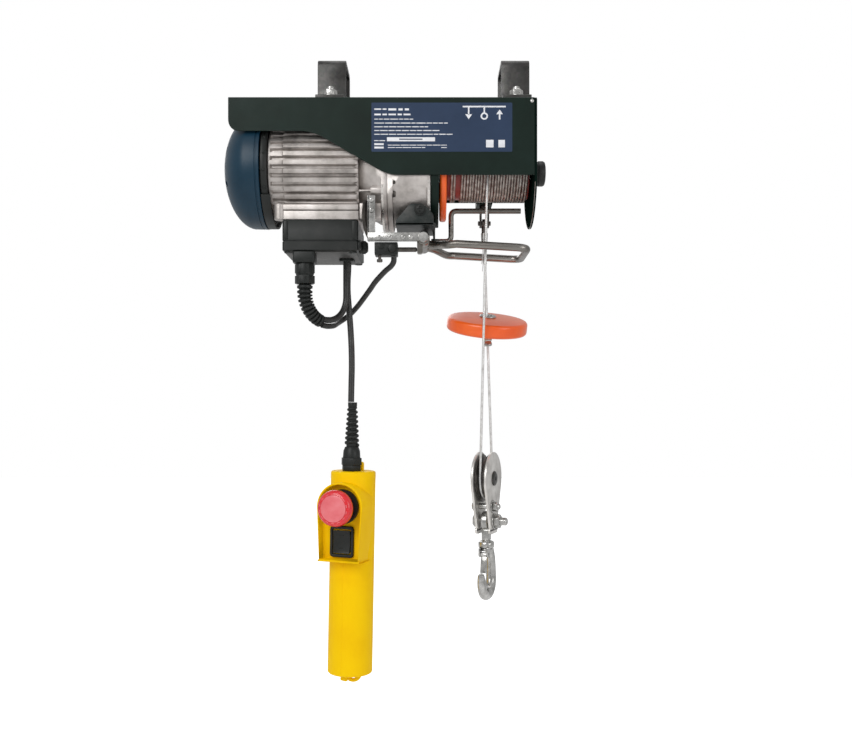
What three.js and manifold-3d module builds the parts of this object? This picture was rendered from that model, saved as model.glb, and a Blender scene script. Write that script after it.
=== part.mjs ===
// Electric wire rope hoist that hangs on a round pole. Millimetres, +X along the drum towards its free end,
// +Y to the rear, +Z up. The origin is where the pole rests: the top face of the frame's pole seat,
// midway between the two pole clamps.
import * as THREE from 'three';
import { mergeVertices } from 'three/addons/utils/BufferGeometryUtils.js';
import Module from 'manifold-3d';

const wasm = await Module();
wasm.setup();

// Driving dimensions
const gap = 0.3; // between touching pieces
const runGap = 0.35; // between a turning piece and what it turns in
const shaftSides = 16;
const roundSides = 24; // on the larger turned pieces

const pole = { width: 49, height: 46 }; // space inside a clamp
const clamp = { spread: 202, width: 31, bar: 4, foot: 23.5, corner: 9, boltR: 5, boltInset: 11.5 };
const frame = {
	left: -209, right: 119, depth: 115, sheet: 1.8, axisDrop: 70,
	frontDrop: 84.5, rearDrop: 91, motorDrop: 37.5, slopeLeft: -119, slopeRight: -38, cornerR: 12,
	seatLength: 150, seatWidth: 40, seatRise: 1, noseRun: 9, noseRise: 10,
};
const innerPlate = { x: 7.5, thick: 2.5, flange: 9, radius: 60 };
const endPlate = { thick: 2.5, radius: 61.5 };
const capSize = { radius: 14, length: 14.6, wall: 3 };

const motor = {
	length: 97.5, finR: 55, bodyR: 49.5, wall: 6, fins: 36, finTip: 5.6, finRoot: 6.6, padHalf: 45, padDrop: 60, padThick: 12,
	webHalf: 30, wireHoleR: 8,
};
const core = { length: 70, thick: 9, rotorR: 32, rotorLength: 62 };
const shield = { length: 7.6, radius: 59 };
const cover = { length: 46.5, radius: 62, wall: 2, dome: 34, slots: 6, slotHalf: 3, slotStart: 18, slotEnd: 40, holeR: 12 };
const bell = { length: 30.7, smallR: 46, largeR: 57, flangeR: 65, flange: 6.2, wall: 4 };
const gearbox = { length: 46.2, radius: 60, wall: 3.5, flange: 6, sideCut: 54.8 };
const bearing = { outerR: 17.5, width: 9 };
const shaft = { motorR: 7.5, drumR: 10, layR: 5 };
const gears = { module: 1, pinionTeeth: 10, wheelTeeth: 49, firstWidth: 9, secondWidth: 14, backlash: 0.45, space: 3 };
const brake = { radius: 34, disc: 4.5, coil: 9 };
const fanSize = { radius: 50, blades: 7, width: 12 };

const drumSize = { barrelR: 29, wall: 4, right: 117, flangeR: 53.5, flange: 7.5, ropeR: 1.5, windStart: 2, windEnd: 2 };
const box = { left: -153.3, right: -70.9, front: -45, rear: 55, height: 34, wall: 2.4 };
const gland = { x: -130, y: -33, block: 24, blockHeight: 11.5, nutR: 11, nutHeight: 22.5, loopDrop: 43.3, loopR: 31.45, endR: 7.2, coverTurn: 72 };
const inlet = { radius: 7.5, length: 9, y: -18, z: -156 };
const cable = { radius: 3.5, limitRadius: 3.1 };

const lever = { pivotX: 0, pivotZ: -150, pinR: 3.5, hubR: 7, hubRear: 20, rodR: 4.3, half: 42, reach: 113, startX: 30, droop: 4.5, finger: 16 };
const lowLever = { y: 5, z: -145.5, belowDrum: 12, rodR: 3, left: 8.5, legX: 31, right: 110, bend: 6 };
const bracket = { x: -60, y: -48, bar: 8, top: -105, bottomZ: -150, bossDrop: 30, bossDepth: 20 };
const support = { sheet: 2.5, front: -45.5, left: -30, right: 13, top: -113, shelf: -136, lugHalf: 5.2 };
const limitSwitch = { left: -53, right: -28, y: -36, depth: 20, height: 14, rodR: 2.6 };
const anchor = {
	x: 70, y: 27, belowDrum: 1, top: 5.8, foot: 3.6, length: 43.5, studR: 3, nut: 1.8, plate: 1.8, plateHalf: 9, leg: 32,
};
const weight = { radius: 46.3, thick: 17, z: -238, tiltX: 15, tiltY: 4.5, bushR: 9.5, holeR: 5.1, bushRise: 2.5, sleeveR: 5.6, sleeve: 14 };

const block = { x: 70.7, y: -1, z: -413.5, turn: -21, plate: 2.5, inside: 13, plateR: 29.5, foot: 62, footHalf: 15 };
const sheaveSize = { radius: 27, groove: 20.2, width: 10, pinR: 6 };
const crosshead = { drop: 48, radius: 4.5, headR: 7.5, head: 5, nutSide: 24.5, eyeR: 11, eyeHalf: 4, stemR: 4.7 };
const hookSize = { headTop: -70.5, head: 8, headR: 9, bowlZ: -113.5, bowlR: 18, barR: 5, tipZ: -105 };
const latchSize = { y: -8, z: -85, hubR: 3, half: 3.6, length: 21, lean: 10, ear: 1.8, pinR: 1.4 };

const pendant = {
	x: -80.3, y: 13, z: -405.9, lean: 1, turn: -18.5, radius: 25.5, wall: 2.5, length: 230, split: 0.3,
	consoleHalf: 27.3, consoleOut: 39.2, recess: 11.2, rim: 2.5, consoleTop: -11.2, consoleFoot: -99.6, endRound: 2.5,
	glandY: -6, reliefTop: 78, reliefEndR: 5.2,
};
const estop = { z: -38.5, stemR: 8, headR: 20.3, head: 12, lift: 5, travel: 4.5 };
const rocker = { z: -77.5, width: 21, height: 27, rise: 4, depth: 9 };

// What follows from them
const axisZ = -frame.axisDrop;
const plateTop = -frame.seatRise; // the pressed seat stands this much above the rest of the top plate
const half = frame.depth / 2;
const inside = half - frame.sheet - gap;
const gearboxRight = innerPlate.x - gap;
const gearboxLeft = gearboxRight - gearbox.length;
const bellRight = gearboxLeft - gap;
const bellLeft = bellRight - bell.length;
const motorRight = bellLeft - gap;
const motorLeft = motorRight - motor.length;
const shieldRight = motorLeft - gap;
const shieldLeft = shieldRight - shield.length;
const coverRight = shieldLeft - gap;
const coverLeft = coverRight - cover.length;
const drumLeft = innerPlate.x + innerPlate.flange + 1.2;
const centres = gears.module * (gears.pinionTeeth + gears.wheelTeeth) / 2; // motor axis to layshaft
const firstWheelX = gearboxLeft + gears.space;
const secondWheelX = firstWheelX + gears.firstWidth + gears.space;
const boxTop = axisZ - motor.padDrop - gap;
const boxBottom = boxTop - box.height;
const anchorZ = axisZ - drumSize.barrelR - anchor.belowDrum; // underside of the rope anchor's plate
const ropeTopY = -(drumSize.barrelR + 3 * drumSize.ropeR + 2 * gap);

const steel = { metalness: 0.85, roughness: 0.35 };
const finishes = {
	blackPaint: { color: 0x202624, roughness: 0.45, metalness: 0.2 },
	galvanised: { color: 0x9a968c, ...steel },
	castAluminium: { color: 0xb5aca6, roughness: 0.45, metalness: 0.7 },
	blueCover: { color: 0x1d3d56, roughness: 0.4, metalness: 0.1 },
	blackPlastic: { color: 0x191a1b, roughness: 0.5, metalness: 0 },
	orangePaint: { color: 0xe85a1c, roughness: 0.35, metalness: 0.1 },
	drumPaint: { color: 0x8f2f26, roughness: 0.5, metalness: 0.2 },
	wireRope: { color: 0xb4aea8, ...steel },
	zinc: { color: 0xa9a9a4, ...steel },
	copper: { color: 0xb06a3a, ...steel },
	yellowPlastic: { color: 0xf5c400, roughness: 0.5, metalness: 0 },
	redPlastic: { color: 0xd21f22, roughness: 0.35, metalness: 0 },
	cableRubber: { color: 0x202223, roughness: 0.6, metalness: 0 },
};
const materials = {};
for (const [name, finish] of Object.entries(finishes)) materials[name] = new THREE.MeshStandardMaterial(finish);

// Solids from geometries, and back
function solid(geometry) {
	const flat = geometry.index ? geometry.toNonIndexed() : geometry;
	const bare = new THREE.BufferGeometry().setAttribute('position', flat.getAttribute('position'));
	const merged = mergeVertices(bare, 1e-3);
	return new wasm.Manifold(new wasm.Mesh({
		numProp: 3,
		vertProperties: merged.attributes.position.array,
		triVerts: new Uint32Array(merged.index.array),
	}));
}

function geometryOf(manifold) {
	const mesh = manifold.getMesh();
	const geometry = new THREE.BufferGeometry();
	geometry.setAttribute('position', new THREE.BufferAttribute(new Float32Array(mesh.vertProperties), 3));
	geometry.setIndex(new THREE.BufferAttribute(new Uint32Array(mesh.triVerts), 1));
	const faceted = geometry.toNonIndexed();
	faceted.computeVertexNormals();
	return faceted;
}

function join(...geometries) {
	return geometryOf(geometries.map(solid).reduce((sum, next) => sum.add(next)));
}

function cut(geometry, ...tools) {
	return geometryOf(tools.map(solid).reduce((rest, tool) => rest.subtract(tool), solid(geometry)));
}

function common(geometry, tool) {
	return geometryOf(solid(geometry).intersect(solid(tool)));
}

// Basic shapes
const axisX = new THREE.Vector3(1, 0, 0);
const axisY = new THREE.Vector3(0, 1, 0);
const axisUp = new THREE.Vector3(0, 0, 1);

function slab(x0, x1, y0, y1, z0, z1) {
	const geometry = new THREE.BoxGeometry(x1 - x0, y1 - y0, z1 - z0);
	return geometry.translate((x0 + x1) / 2, (y0 + y1) / 2, (z0 + z1) / 2);
}

function barX(radius, x0, x1, y = 0, z = 0, sides = 16) {
	const geometry = new THREE.CylinderGeometry(radius, radius, x1 - x0, sides).rotateZ(-Math.PI / 2);
	return geometry.translate((x0 + x1) / 2, y, z);
}

function barY(radius, y0, y1, x = 0, z = 0, sides = 16) {
	return new THREE.CylinderGeometry(radius, radius, y1 - y0, sides).translate(x, (y0 + y1) / 2, z);
}

function barZ(radius, z0, z1, x = 0, y = 0, sides = 16) {
	const geometry = new THREE.CylinderGeometry(radius, radius, z1 - z0, sides).rotateX(Math.PI / 2);
	return geometry.translate(x, y, (z0 + z1) / 2);
}

// A hole that stays clear of a round shaft at every angle, though both have flat facets
function boreFor(radius, sides = shaftSides) {
	return (radius + runGap) / Math.cos(Math.PI / sides);
}

// Turns a profile of [place along the axis, radius] points about the axis
function lathe(profile, sides) {
	const points = profile.map(([along, radius]) => new THREE.Vector2(radius, along));
	const area = THREE.ShapeUtils.area(points);
	return new THREE.LatheGeometry(area < 0 ? points.reverse() : points, sides);
}

function latheX(profile, sides = roundSides) {
	return lathe([...profile, profile[0]], sides).rotateZ(-Math.PI / 2);
}

function latheZ(profile, sides = roundSides) {
	return lathe([...profile, profile[0]], sides).rotateX(Math.PI / 2);
}

function extrude(shape, depth, across, up, along, curveSegments = 6) {
	const geometry = new THREE.ExtrudeGeometry(shape, { depth, bevelEnabled: false, curveSegments });
	return geometry.applyMatrix4(new THREE.Matrix4().makeBasis(across, up, along));
}

function plateXZ(shape, y0, y1, segments) {
	return extrude(shape, y1 - y0, axisX, axisUp, axisY.clone().negate(), segments).translate(0, y1, 0);
}

function plateYZ(shape, x0, x1, segments) {
	return extrude(shape, x1 - x0, axisY, axisUp, axisX, segments).translate(x0, 0, 0);
}

// A closed outline of [x, y, corner radius] points
function outline(corners) {
	const shape = new THREE.Shape();
	corners.forEach(([x, y, radius = 0], i) => {
		const here = new THREE.Vector2(x, y);
		const before = new THREE.Vector2(...corners[(i + corners.length - 1) % corners.length]);
		const after = new THREE.Vector2(...corners[(i + 1) % corners.length]);
		const enter = here.clone().add(before.sub(here).setLength(radius));
		const leave = here.clone().add(after.sub(here).setLength(radius));
		if (i === 0) shape.moveTo(enter.x, enter.y);
		else shape.lineTo(enter.x, enter.y);
		if (radius > 0) shape.quadraticCurveTo(x, y, leave.x, leave.y);
	});
	shape.closePath();
	return shape;
}

function ring(radius, sides) {
	const step = 2 * Math.PI / sides;
	return Array.from({ length: sides }, (_, i) => new THREE.Vector2(
		radius * Math.cos(i * step), radius * Math.sin(i * step)));
}

function rod(points, radius, steps, sides = 8) {
	const path = new THREE.CatmullRomCurve3(points.map((p) => new THREE.Vector3(...p)), false, 'centripetal');
	return new THREE.ExtrudeGeometry(new THREE.Shape(ring(radius, sides)), { extrudePath: path, steps });
}

const group = new THREE.Group();

function add(parent, name, geometry, material) {
	const mesh = new THREE.Mesh(geometry, materials[material]);
	mesh.name = name;
	parent.add(mesh);
	return mesh;
}

// Frame: one folded sheet with a top plate and two side panels, and two cross plates
function sidePanel(drop) {
	const { left, right, motorDrop, slopeLeft, slopeRight, cornerR, noseRun, noseRise } = frame;
	return outline([
		[left, plateTop], [left, -motorDrop + noseRise], [left + noseRun, -motorDrop, cornerR / 2],
		[slopeLeft, -motorDrop, cornerR], [slopeRight, -drop, cornerR], [right, -drop], [right, plateTop],
	]);
}

function housing() {
	const { left, right, sheet, seatLength, seatWidth } = frame;
	const top = slab(left, right, -half, half, plateTop - sheet, plateTop);
	const seat = slab(-seatLength / 2, seatLength / 2, -seatWidth / 2, seatWidth / 2, plateTop - sheet / 2, 0);
	const front = plateXZ(sidePanel(frame.frontDrop), -half, -half + sheet, 4);
	const rear = plateXZ(sidePanel(frame.rearDrop), half - sheet, half, 4);
	const holes = clampBolts().map(([x, y]) => barZ(clamp.boltR + gap, plateTop - 5, 5, x, y, 12));
	return cut(join(top, seat, front, rear), ...holes);
}

// The disc below the axis and the straight part above it, no wider than the frame
function crossPlate(radius, halfWidth, top, x0, x1) {
	const bottom = new THREE.CylinderGeometry(radius, radius, x1 - x0, 36).rotateZ(-Math.PI / 2);
	const disc = bottom.translate((x0 + x1) / 2, 0, axisZ);
	const upper = slab(x0, x1, -radius, radius, axisZ, top);
	const limits = slab(x0 - 1, x1 + 1, -halfWidth, halfWidth, axisZ - radius - 1, top);
	return common(join(disc, upper), limits);
}

function innerCrossPlate() {
	const { x, thick, flange, radius } = innerPlate;
	const top = plateTop - frame.sheet - gap;
	const pan = crossPlate(radius, inside, top, x, x + flange);
	const hollow = crossPlate(radius - thick, inside - thick, top - thick, x + thick, x + flange + 1);
	const shaftHole = barX(shaft.drumR + 4, x - 1, x + flange, 0, axisZ, shaftSides);
	return cut(pan, hollow, shaftHole);
}

function outerCrossPlate() {
	const x = frame.right + gap;
	const plate = crossPlate(endPlate.radius, half, plateTop, x, x + endPlate.thick);
	return cut(plate, barX(boreFor(shaft.drumR), x - 1, x + endPlate.thick + 1, 0, axisZ, shaftSides));
}

function axleCap() {
	const x = frame.right + endPlate.thick + 2 * gap;
	const { radius, length, wall } = capSize;
	const bore = boreFor(shaft.drumR);
	return latheX([
		[x, bore], [x + length - wall, bore], [x + length - wall, 0.001], [x + length, 0.001],
		[x + length, radius - 2], [x + length - 2, radius], [x, radius],
	], shaftSides).translate(0, 0, axisZ);
}

// Pole clamps
function clampBolts() {
	const y = pole.width / 2 + clamp.bar + clamp.boltInset;
	return [-1, 1].flatMap((side) => [[side * clamp.spread / 2, -y], [side * clamp.spread / 2, y]]);
}

function poleClamp(x) {
	const inner = pole.width / 2;
	const outer = inner + clamp.bar;
	const foot = outer + clamp.foot;
	const low = plateTop + gap;
	const rise = low + clamp.bar;
	const top = pole.height + clamp.bar;
	const strap = outline([
		[-foot, low], [-inner, low], [-inner, pole.height, clamp.corner - clamp.bar],
		[inner, pole.height, clamp.corner - clamp.bar], [inner, low], [foot, low], [foot, rise],
		[outer, rise], [outer, top, clamp.corner], [-outer, top, clamp.corner], [-outer, rise], [-foot, rise],
	]);
	const bent = plateYZ(strap, x - clamp.width / 2, x + clamp.width / 2, 4);
	const own = clampBolts().filter(([boltX]) => Math.abs(boltX - x) < 1);
	return cut(bent, ...own.map(([bx, by]) => barZ(clamp.boltR + gap, low - 1, rise + 1, bx, by, 12)));
}

const frameGroup = new THREE.Group();
group.add(frameGroup);
add(frameGroup, 'housing', housing(), 'blackPaint');
add(frameGroup, 'inner_plate', innerCrossPlate(), 'blackPaint');
add(frameGroup, 'end_plate', outerCrossPlate(), 'blackPaint');
add(frameGroup, 'axle_cap', axleCap(), 'blackPlastic');
add(frameGroup, 'pole_clamp_left', poleClamp(-clamp.spread / 2), 'galvanised');
add(frameGroup, 'pole_clamp_right', poleClamp(clamp.spread / 2), 'galvanised');

// Motor and gearbox, one behind the other on the drum's axis. This group's X axis is that axis.
const driveGroup = new THREE.Group();
driveGroup.position.z = axisZ;
group.add(driveGroup);

function statorHousing() {
	const step = 2 * Math.PI / motor.fins;
	const points = [];
	for (let i = 0; i < motor.fins; i++) {
		const middle = i * step;
		const root = motor.finRoot / 2 / motor.bodyR;
		const tip = motor.finTip / 2 / motor.finR;
		for (const [turn, radius] of [[-root, motor.bodyR], [-tip, motor.finR], [tip, motor.finR], [root, motor.bodyR]]) {
			points.push(new THREE.Vector2(radius * Math.cos(middle + turn), radius * Math.sin(middle + turn)));
		}
	}
	const barrel = plateYZ(new THREE.Shape(points), motorLeft, motorRight);
	const pad = slab(box.left, motorRight, -motor.padHalf, motor.padHalf, -motor.padDrop, -motor.padDrop + motor.padThick);
	const webTop = -motor.bodyR + motor.wall / 2;
	const web = slab(box.left, motorRight, -motor.webHalf, motor.webHalf, -motor.padDrop + motor.padThick - 1, webTop);
	const bore = barX(motor.bodyR - motor.wall, motorLeft - 1, motorRight + 1, 0, 0, roundSides);
	const wires = barZ(motor.wireHoleR, -motor.padDrop - 1, webTop + motor.wall, (box.left + motorRight) / 2, 0, 12);
	return cut(join(barrel, pad, web), bore, wires);
}

function statorCore() {
	const middle = (motorLeft + motorRight) / 2;
	const outer = motor.bodyR - motor.wall - gap;
	const inner = boreFor(core.rotorR, roundSides);
	const end = middle + core.length / 2;
	const start = middle - core.length / 2;
	return latheX([[start, inner], [end, inner], [end, outer], [start, outer]]);
}

function rearShield() {
	const seat = bearing.outerR + gap;
	const lip = 2;
	return latheX([
		[shieldLeft, boreFor(shaft.motorR) + 1], [shieldLeft + lip, boreFor(shaft.motorR) + 1],
		[shieldLeft + lip, seat], [shieldRight, seat], [shieldRight, shield.radius - 4],
		[shieldRight - 2, shield.radius - 4], [shieldRight - 2, shield.radius], [shieldLeft, shield.radius],
	]);
}

function bearingRing(x, boreR) {
	return latheX([[x, boreR], [x + bearing.width, boreR], [x + bearing.width, bearing.outerR], [x, bearing.outerR]], shaftSides);
}

function fanCover() {
	const { radius, wall, dome, slots, slotHalf, slotStart, slotEnd, holeR } = cover;
	const profile = (shrink) => [90, 72, 56, 42, 28].map((degrees) => {
		const angle = THREE.MathUtils.degToRad(degrees);
		return [coverLeft + dome - (dome - shrink) * Math.cos(angle), (radius - shrink) * Math.sin(angle)];
	});
	const outer = profile(0);
	const inner = profile(wall).reverse();
	const shell = latheX([
		[coverRight, radius], ...outer, [coverLeft, holeR], [coverLeft + wall, holeR], ...inner, [coverRight, radius - wall],
	]);
	const tools = [];
	for (let i = 0; i < slots; i++) {
		const slot = slab(coverLeft - 1, coverLeft + dome / 2, -slotHalf, slotHalf, slotStart, slotEnd);
		tools.push(slot.rotateX(2 * Math.PI * i / slots));
	}
	return cut(shell, ...tools);
}

function frontBell() {
	const { smallR, largeR, flangeR, flange, wall } = bell;
	const seat = bearing.outerR + gap;
	const wallLeft = bellRight - flange;
	const coilR = brake.radius + gap;
	const turned = latheX([
		[bellLeft, smallR], [wallLeft - 3, largeR], [wallLeft, largeR], [wallLeft, flangeR], [bellRight, flangeR],
		[bellRight, boreFor(shaft.motorR)], [bellRight - 1.5, boreFor(shaft.motorR)], [bellRight - 1.5, seat],
		[bellRight - 1.5 - bearing.width, seat], [bellRight - 1.5 - bearing.width, coilR], [bellLeft, coilR],
	]);
	const sides = slab(bellLeft - 1, bellRight + 1, -gearbox.sideCut, gearbox.sideCut, -flangeR, frame.axisDrop - 4);
	const laySeat = barX(boreFor(shaft.layR), bellRight - wall, bellRight + 1, 0, -centres, shaftSides);
	const { x, y, bar, bossDrop, bossDepth } = bracket;
	const bossFront = y + bar / 2 + gap;
	const boss = slab(x - 2, x + bar + 2, bossFront, bossFront + bossDepth, -bossDrop - 14, -bossDrop);
	return cut(join(common(turned, sides), boss), laySeat);
}

function gearboxCase() {
	const { radius, wall, flange, sideCut } = gearbox;
	const seat = bearing.outerR + gap;
	const bearingLeft = gearboxRight - 1 - bearing.width;
	const turned = latheX([
		[gearboxLeft, bell.flangeR], [gearboxLeft + flange, bell.flangeR], [gearboxLeft + flange, radius],
		[gearboxRight - 4, radius], [gearboxRight - 4, radius + 2], [gearboxRight, radius + 2],
		[gearboxRight, boreFor(shaft.drumR)], [gearboxRight - 1, boreFor(shaft.drumR)], [gearboxRight - 1, seat],
		[bearingLeft, seat], [bearingLeft, seat + wall], [gearboxRight - 1.5 * wall, seat + wall],
		[gearboxRight - 1.5 * wall, radius - wall], [gearboxLeft, radius - wall],
	]);
	const sides = slab(gearboxLeft - 1, gearboxRight + 1, -sideCut, sideCut, -bell.flangeR, frame.axisDrop - 4);
	const bossFront = support.front + support.sheet + gap;
	const boss = slab(-18, 2, bossFront, -30, -58, -44);
	const layBoss = barX(shaft.layR + 4, gearboxRight - 4 * wall, gearboxRight - wall, 0, -centres, shaftSides);
	const laySeat = barX(boreFor(shaft.layR), gearboxRight - 4 * wall - 1, gearboxRight - wall, 0, -centres, shaftSides);
	const shell = join(common(turned, sides), boss, layBoss);
	return cut(shell, laySeat);
}

// A spur gear's outline with involute flanks, thinned by the backlash
function gearOutline(teeth, extra = 0) {
	const { module, backlash } = gears;
	const pressure = THREE.MathUtils.degToRad(20);
	const pitchR = module * teeth / 2;
	const baseR = pitchR * Math.cos(pressure);
	const rootR = pitchR - 1.25 * module;
	const tipR = pitchR + 0.9 * module;
	const involute = (angle) => Math.tan(angle) - angle;
	const halfAt = (radius) => {
		const atPitch = (Math.PI * module / 2 - backlash) / 2 / pitchR;
		return atPitch + involute(pressure) - involute(Math.acos(Math.min(1, baseR / radius)));
	};
	const low = Math.max(baseR, rootR);
	const flank = [[rootR, halfAt(low)]];
	for (let i = 1; i <= 1 + extra; i++) {
		const radius = low + (tipR - low) * i / (1 + extra);
		flank.push([radius, Math.max(halfAt(radius), 0.1 / radius)]);
	}
	const points = [];
	for (let tooth = 0; tooth < teeth; tooth++) {
		const middle = 2 * Math.PI * tooth / teeth;
		const both = [...flank.map(([r, a]) => [r, -a]), ...flank.toReversed()];
		for (const [r, a] of both) points.push(new THREE.Vector2(r * Math.cos(middle + a), r * Math.sin(middle + a)));
	}
	return new THREE.Shape(points);
}

function gearBody(teeth, x0, x1, turn, extra) {
	return plateYZ(gearOutline(teeth, extra), x0, x1).rotateX(turn);
}

function rotorShaft() {
	const journal = shaft.motorR;
	const neck = gears.module * gears.pinionTeeth / 2 - 1.4 * gears.module;
	const fanEnd = coverLeft + cover.dome;
	const turned = latheX([
		[fanEnd, 0.001], [fanEnd, journal - 1], [fanEnd + 1, journal], [bellRight + 0.6, journal],
		[bellRight + 0.6, neck], [firstWheelX + 1, neck], [firstWheelX + 1, 0.001],
	], shaftSides);
	const end = firstWheelX + gears.firstWidth;
	const pinion = gearBody(gears.pinionTeeth, firstWheelX, end, -Math.PI / 2 + Math.PI / gears.pinionTeeth, 1);
	return join(turned, pinion);
}

function sleeve(innerR, outerR, x0, x1, sides = roundSides) {
	return latheX([[x0, innerR], [x1, innerR], [x1, outerR], [x0, outerR]], sides);
}

function fanWheel() {
	const x = coverRight - 4 - fanSize.width;
	const hub = sleeve(shaft.motorR + gap, shaft.motorR + 7, x, x + fanSize.width, shaftSides);
	const backR = fanSize.radius;
	const back = sleeve(shaft.motorR + gap + 0.5, backR, x + fanSize.width - 2, x + fanSize.width);
	const blades = [];
	for (let i = 0; i < fanSize.blades; i++) {
		const blade = slab(x, x + fanSize.width - 1, -1, 1, shaft.motorR + 5, backR - 1);
		blades.push(blade.rotateX(2 * Math.PI * i / fanSize.blades));
	}
	return join(hub, back, ...blades);
}

function brakeDisc() {
	const x = bellRight - 1.5 - bearing.width - gap - brake.coil - 1.5 - brake.disc;
	return sleeve(shaft.motorR + gap, brake.radius - 2, x, x + brake.disc);
}

function brakeCoil() {
	const x1 = bellRight - 1.5 - bearing.width - gap;
	return sleeve(boreFor(shaft.motorR) + 2, brake.radius, x1 - brake.coil, x1);
}

function layshaft() {
	const left = bellRight - bell.wall + 0.5;
	const right = gearboxRight - gearbox.wall - 1;
	const x0 = secondWheelX - 1;
	const neck = gears.module * gears.pinionTeeth / 2 - 1.4 * gears.module;
	const bearingRoot = gearboxRight - 4 * gearbox.wall;
	const turned = latheX([
		[left, 0.001], [left, shaft.layR], [x0, shaft.layR], [x0, neck], [bearingRoot - 1.5, neck],
		[bearingRoot - 1.5, shaft.layR], [right, shaft.layR], [right, 0.001],
	], shaftSides);
	const pinion = gearBody(gears.pinionTeeth, secondWheelX, secondWheelX + gears.secondWidth, Math.PI / 2, 1);
	return join(turned, pinion).translate(0, 0, -centres);
}

function firstWheel() {
	const x1 = firstWheelX + gears.firstWidth;
	const body = gearBody(gears.wheelTeeth, firstWheelX, x1, Math.PI / 2, 0);
	return cut(body, barX(shaft.layR + gap, firstWheelX - 1, x1 + 1, 0, 0, shaftSides)).translate(0, 0, -centres);
}

function outputGear() {
	const x1 = secondWheelX + gears.secondWidth;
	const body = gearBody(gears.wheelTeeth, secondWheelX, x1, -Math.PI / 2 + Math.PI / gears.wheelTeeth, 0);
	return cut(body, barX(shaft.drumR + gap, secondWheelX - 1, x1 + 1, 0, 0, shaftSides));
}

function drumShaft() {
	const right = frame.right + endPlate.thick + capSize.length - capSize.wall - 1;
	return barX(shaft.drumR, secondWheelX, right, 0, 0, shaftSides);
}

function drumBarrel() {
	const { barrelR, wall, right } = drumSize;
	const bore = shaft.drumR + gap;
	const web = 6;
	return latheX([
		[drumLeft, bore], [drumLeft, barrelR], [right, barrelR], [right, bore], [right - web, bore],
		[right - web, barrelR - wall], [drumLeft + web, barrelR - wall], [drumLeft + web, bore],
	]);
}

function drumFlange() {
	const { flangeR, flange, barrelR } = drumSize;
	const round = 2;
	return latheX([
		[drumLeft, barrelR + gap], [drumLeft + flange, barrelR + gap], [drumLeft + flange, flangeR - round],
		[drumLeft + flange - round, flangeR], [drumLeft + round, flangeR], [drumLeft, flangeR - round],
	], 32);
}

function ropeWinding() {
	const start = drumLeft + drumSize.flange + drumSize.windStart;
	const end = drumSize.right - drumSize.windEnd;
	return sleeve(drumSize.barrelR + gap, drumSize.barrelR + gap + 2 * drumSize.ropeR, start, end, 24);
}

add(driveGroup, 'fan_cover', fanCover(), 'blueCover');
add(driveGroup, 'rear_shield', rearShield(), 'blackPlastic');
add(driveGroup, 'rear_bearing', bearingRing(shieldRight - 5.3, boreFor(shaft.motorR)), 'galvanised');
add(driveGroup, 'stator_housing', statorHousing(), 'castAluminium');
add(driveGroup, 'stator_core', statorCore(), 'copper');
add(driveGroup, 'front_bell', frontBell(), 'castAluminium');
add(driveGroup, 'front_bearing', bearingRing(bellRight - 1.5 - bearing.width, boreFor(shaft.motorR)), 'galvanised');
add(driveGroup, 'brake_coil', brakeCoil(), 'copper');
add(driveGroup, 'gearbox_case', gearboxCase(), 'castAluminium');
add(driveGroup, 'drum_bearing', bearingRing(gearboxRight - 1 - bearing.width, boreFor(shaft.drumR)), 'galvanised');
add(driveGroup, 'rotor_shaft', rotorShaft(), 'galvanised');
const rotorMiddle = (motorLeft + motorRight) / 2;
const rotorCore = sleeve(shaft.motorR + gap, core.rotorR, rotorMiddle - core.rotorLength / 2,
	rotorMiddle + core.rotorLength / 2);
add(driveGroup, 'rotor_core', rotorCore, 'castAluminium');
add(driveGroup, 'fan', fanWheel(), 'blackPlastic');
add(driveGroup, 'brake_disc', brakeDisc(), 'blackPlastic');
add(driveGroup, 'layshaft', layshaft(), 'galvanised');
add(driveGroup, 'layshaft_gear', firstWheel(), 'galvanised');
add(driveGroup, 'output_gear', outputGear(), 'galvanised');
add(driveGroup, 'drum_shaft', drumShaft(), 'galvanised');
add(driveGroup, 'drum', drumBarrel(), 'drumPaint');
add(driveGroup, 'drum_flange', drumFlange(), 'orangePaint');
add(driveGroup, 'rope_winding', ropeWinding(), 'wireRope');

// Terminal box under the motor, with its glands
const boxGroup = new THREE.Group();
group.add(boxGroup);

function terminalBox() {
	const { left, right, front, rear, wall } = box;
	const outer = slab(left, right, front, rear, boxBottom, boxTop);
	const hollow = slab(left + wall, right - wall, front + wall, rear - wall, boxBottom + wall, boxTop + 1);
	const side = barX(inlet.radius - 2, right - wall - 1, right + 1, inlet.y, inlet.z, 12);
	return cut(outer, hollow, side);
}

function cableGland() {
	const { x, y, block: width, blockHeight, nutR, nutHeight } = gland;
	const top = boxBottom - gap;
	const base = slab(x - width / 2, x + width / 2, y - width / 2, y + width / 2, top - blockHeight, top);
	const low = top - blockHeight - nutHeight;
	const nuts = barZ(nutR, low, top - blockHeight + 0.5, x, y, 6);
	return join(base, nuts);
}

// Where a turn about the loop's middle takes a point of the loop
const loopDirection = new THREE.Vector3(0.7, 0.714, 0);
const loopMiddle = new THREE.Vector3(gland.x, gland.y, boxBottom - gland.loopDrop).addScaledVector(loopDirection, gland.loopR);

function loopPoint(radius, degrees) {
	const angle = THREE.MathUtils.degToRad(degrees);
	return loopMiddle.clone().addScaledVector(loopDirection, -radius * Math.cos(angle))
		.addScaledVector(axisUp, -radius * Math.sin(angle));
}

function glandRelief() {
	const top = boxBottom - 2 * gap - gland.blockHeight - gland.nutHeight;
	const points = [[gland.x, gland.y, top], [gland.x, gland.y, (top + loopMiddle.z) / 2]];
	for (let turn = 0; turn <= gland.coverTurn; turn += gland.coverTurn / 5) points.push(loopPoint(gland.loopR, turn).toArray());
	return rod(points, gland.endR, 12, 12);
}

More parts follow.
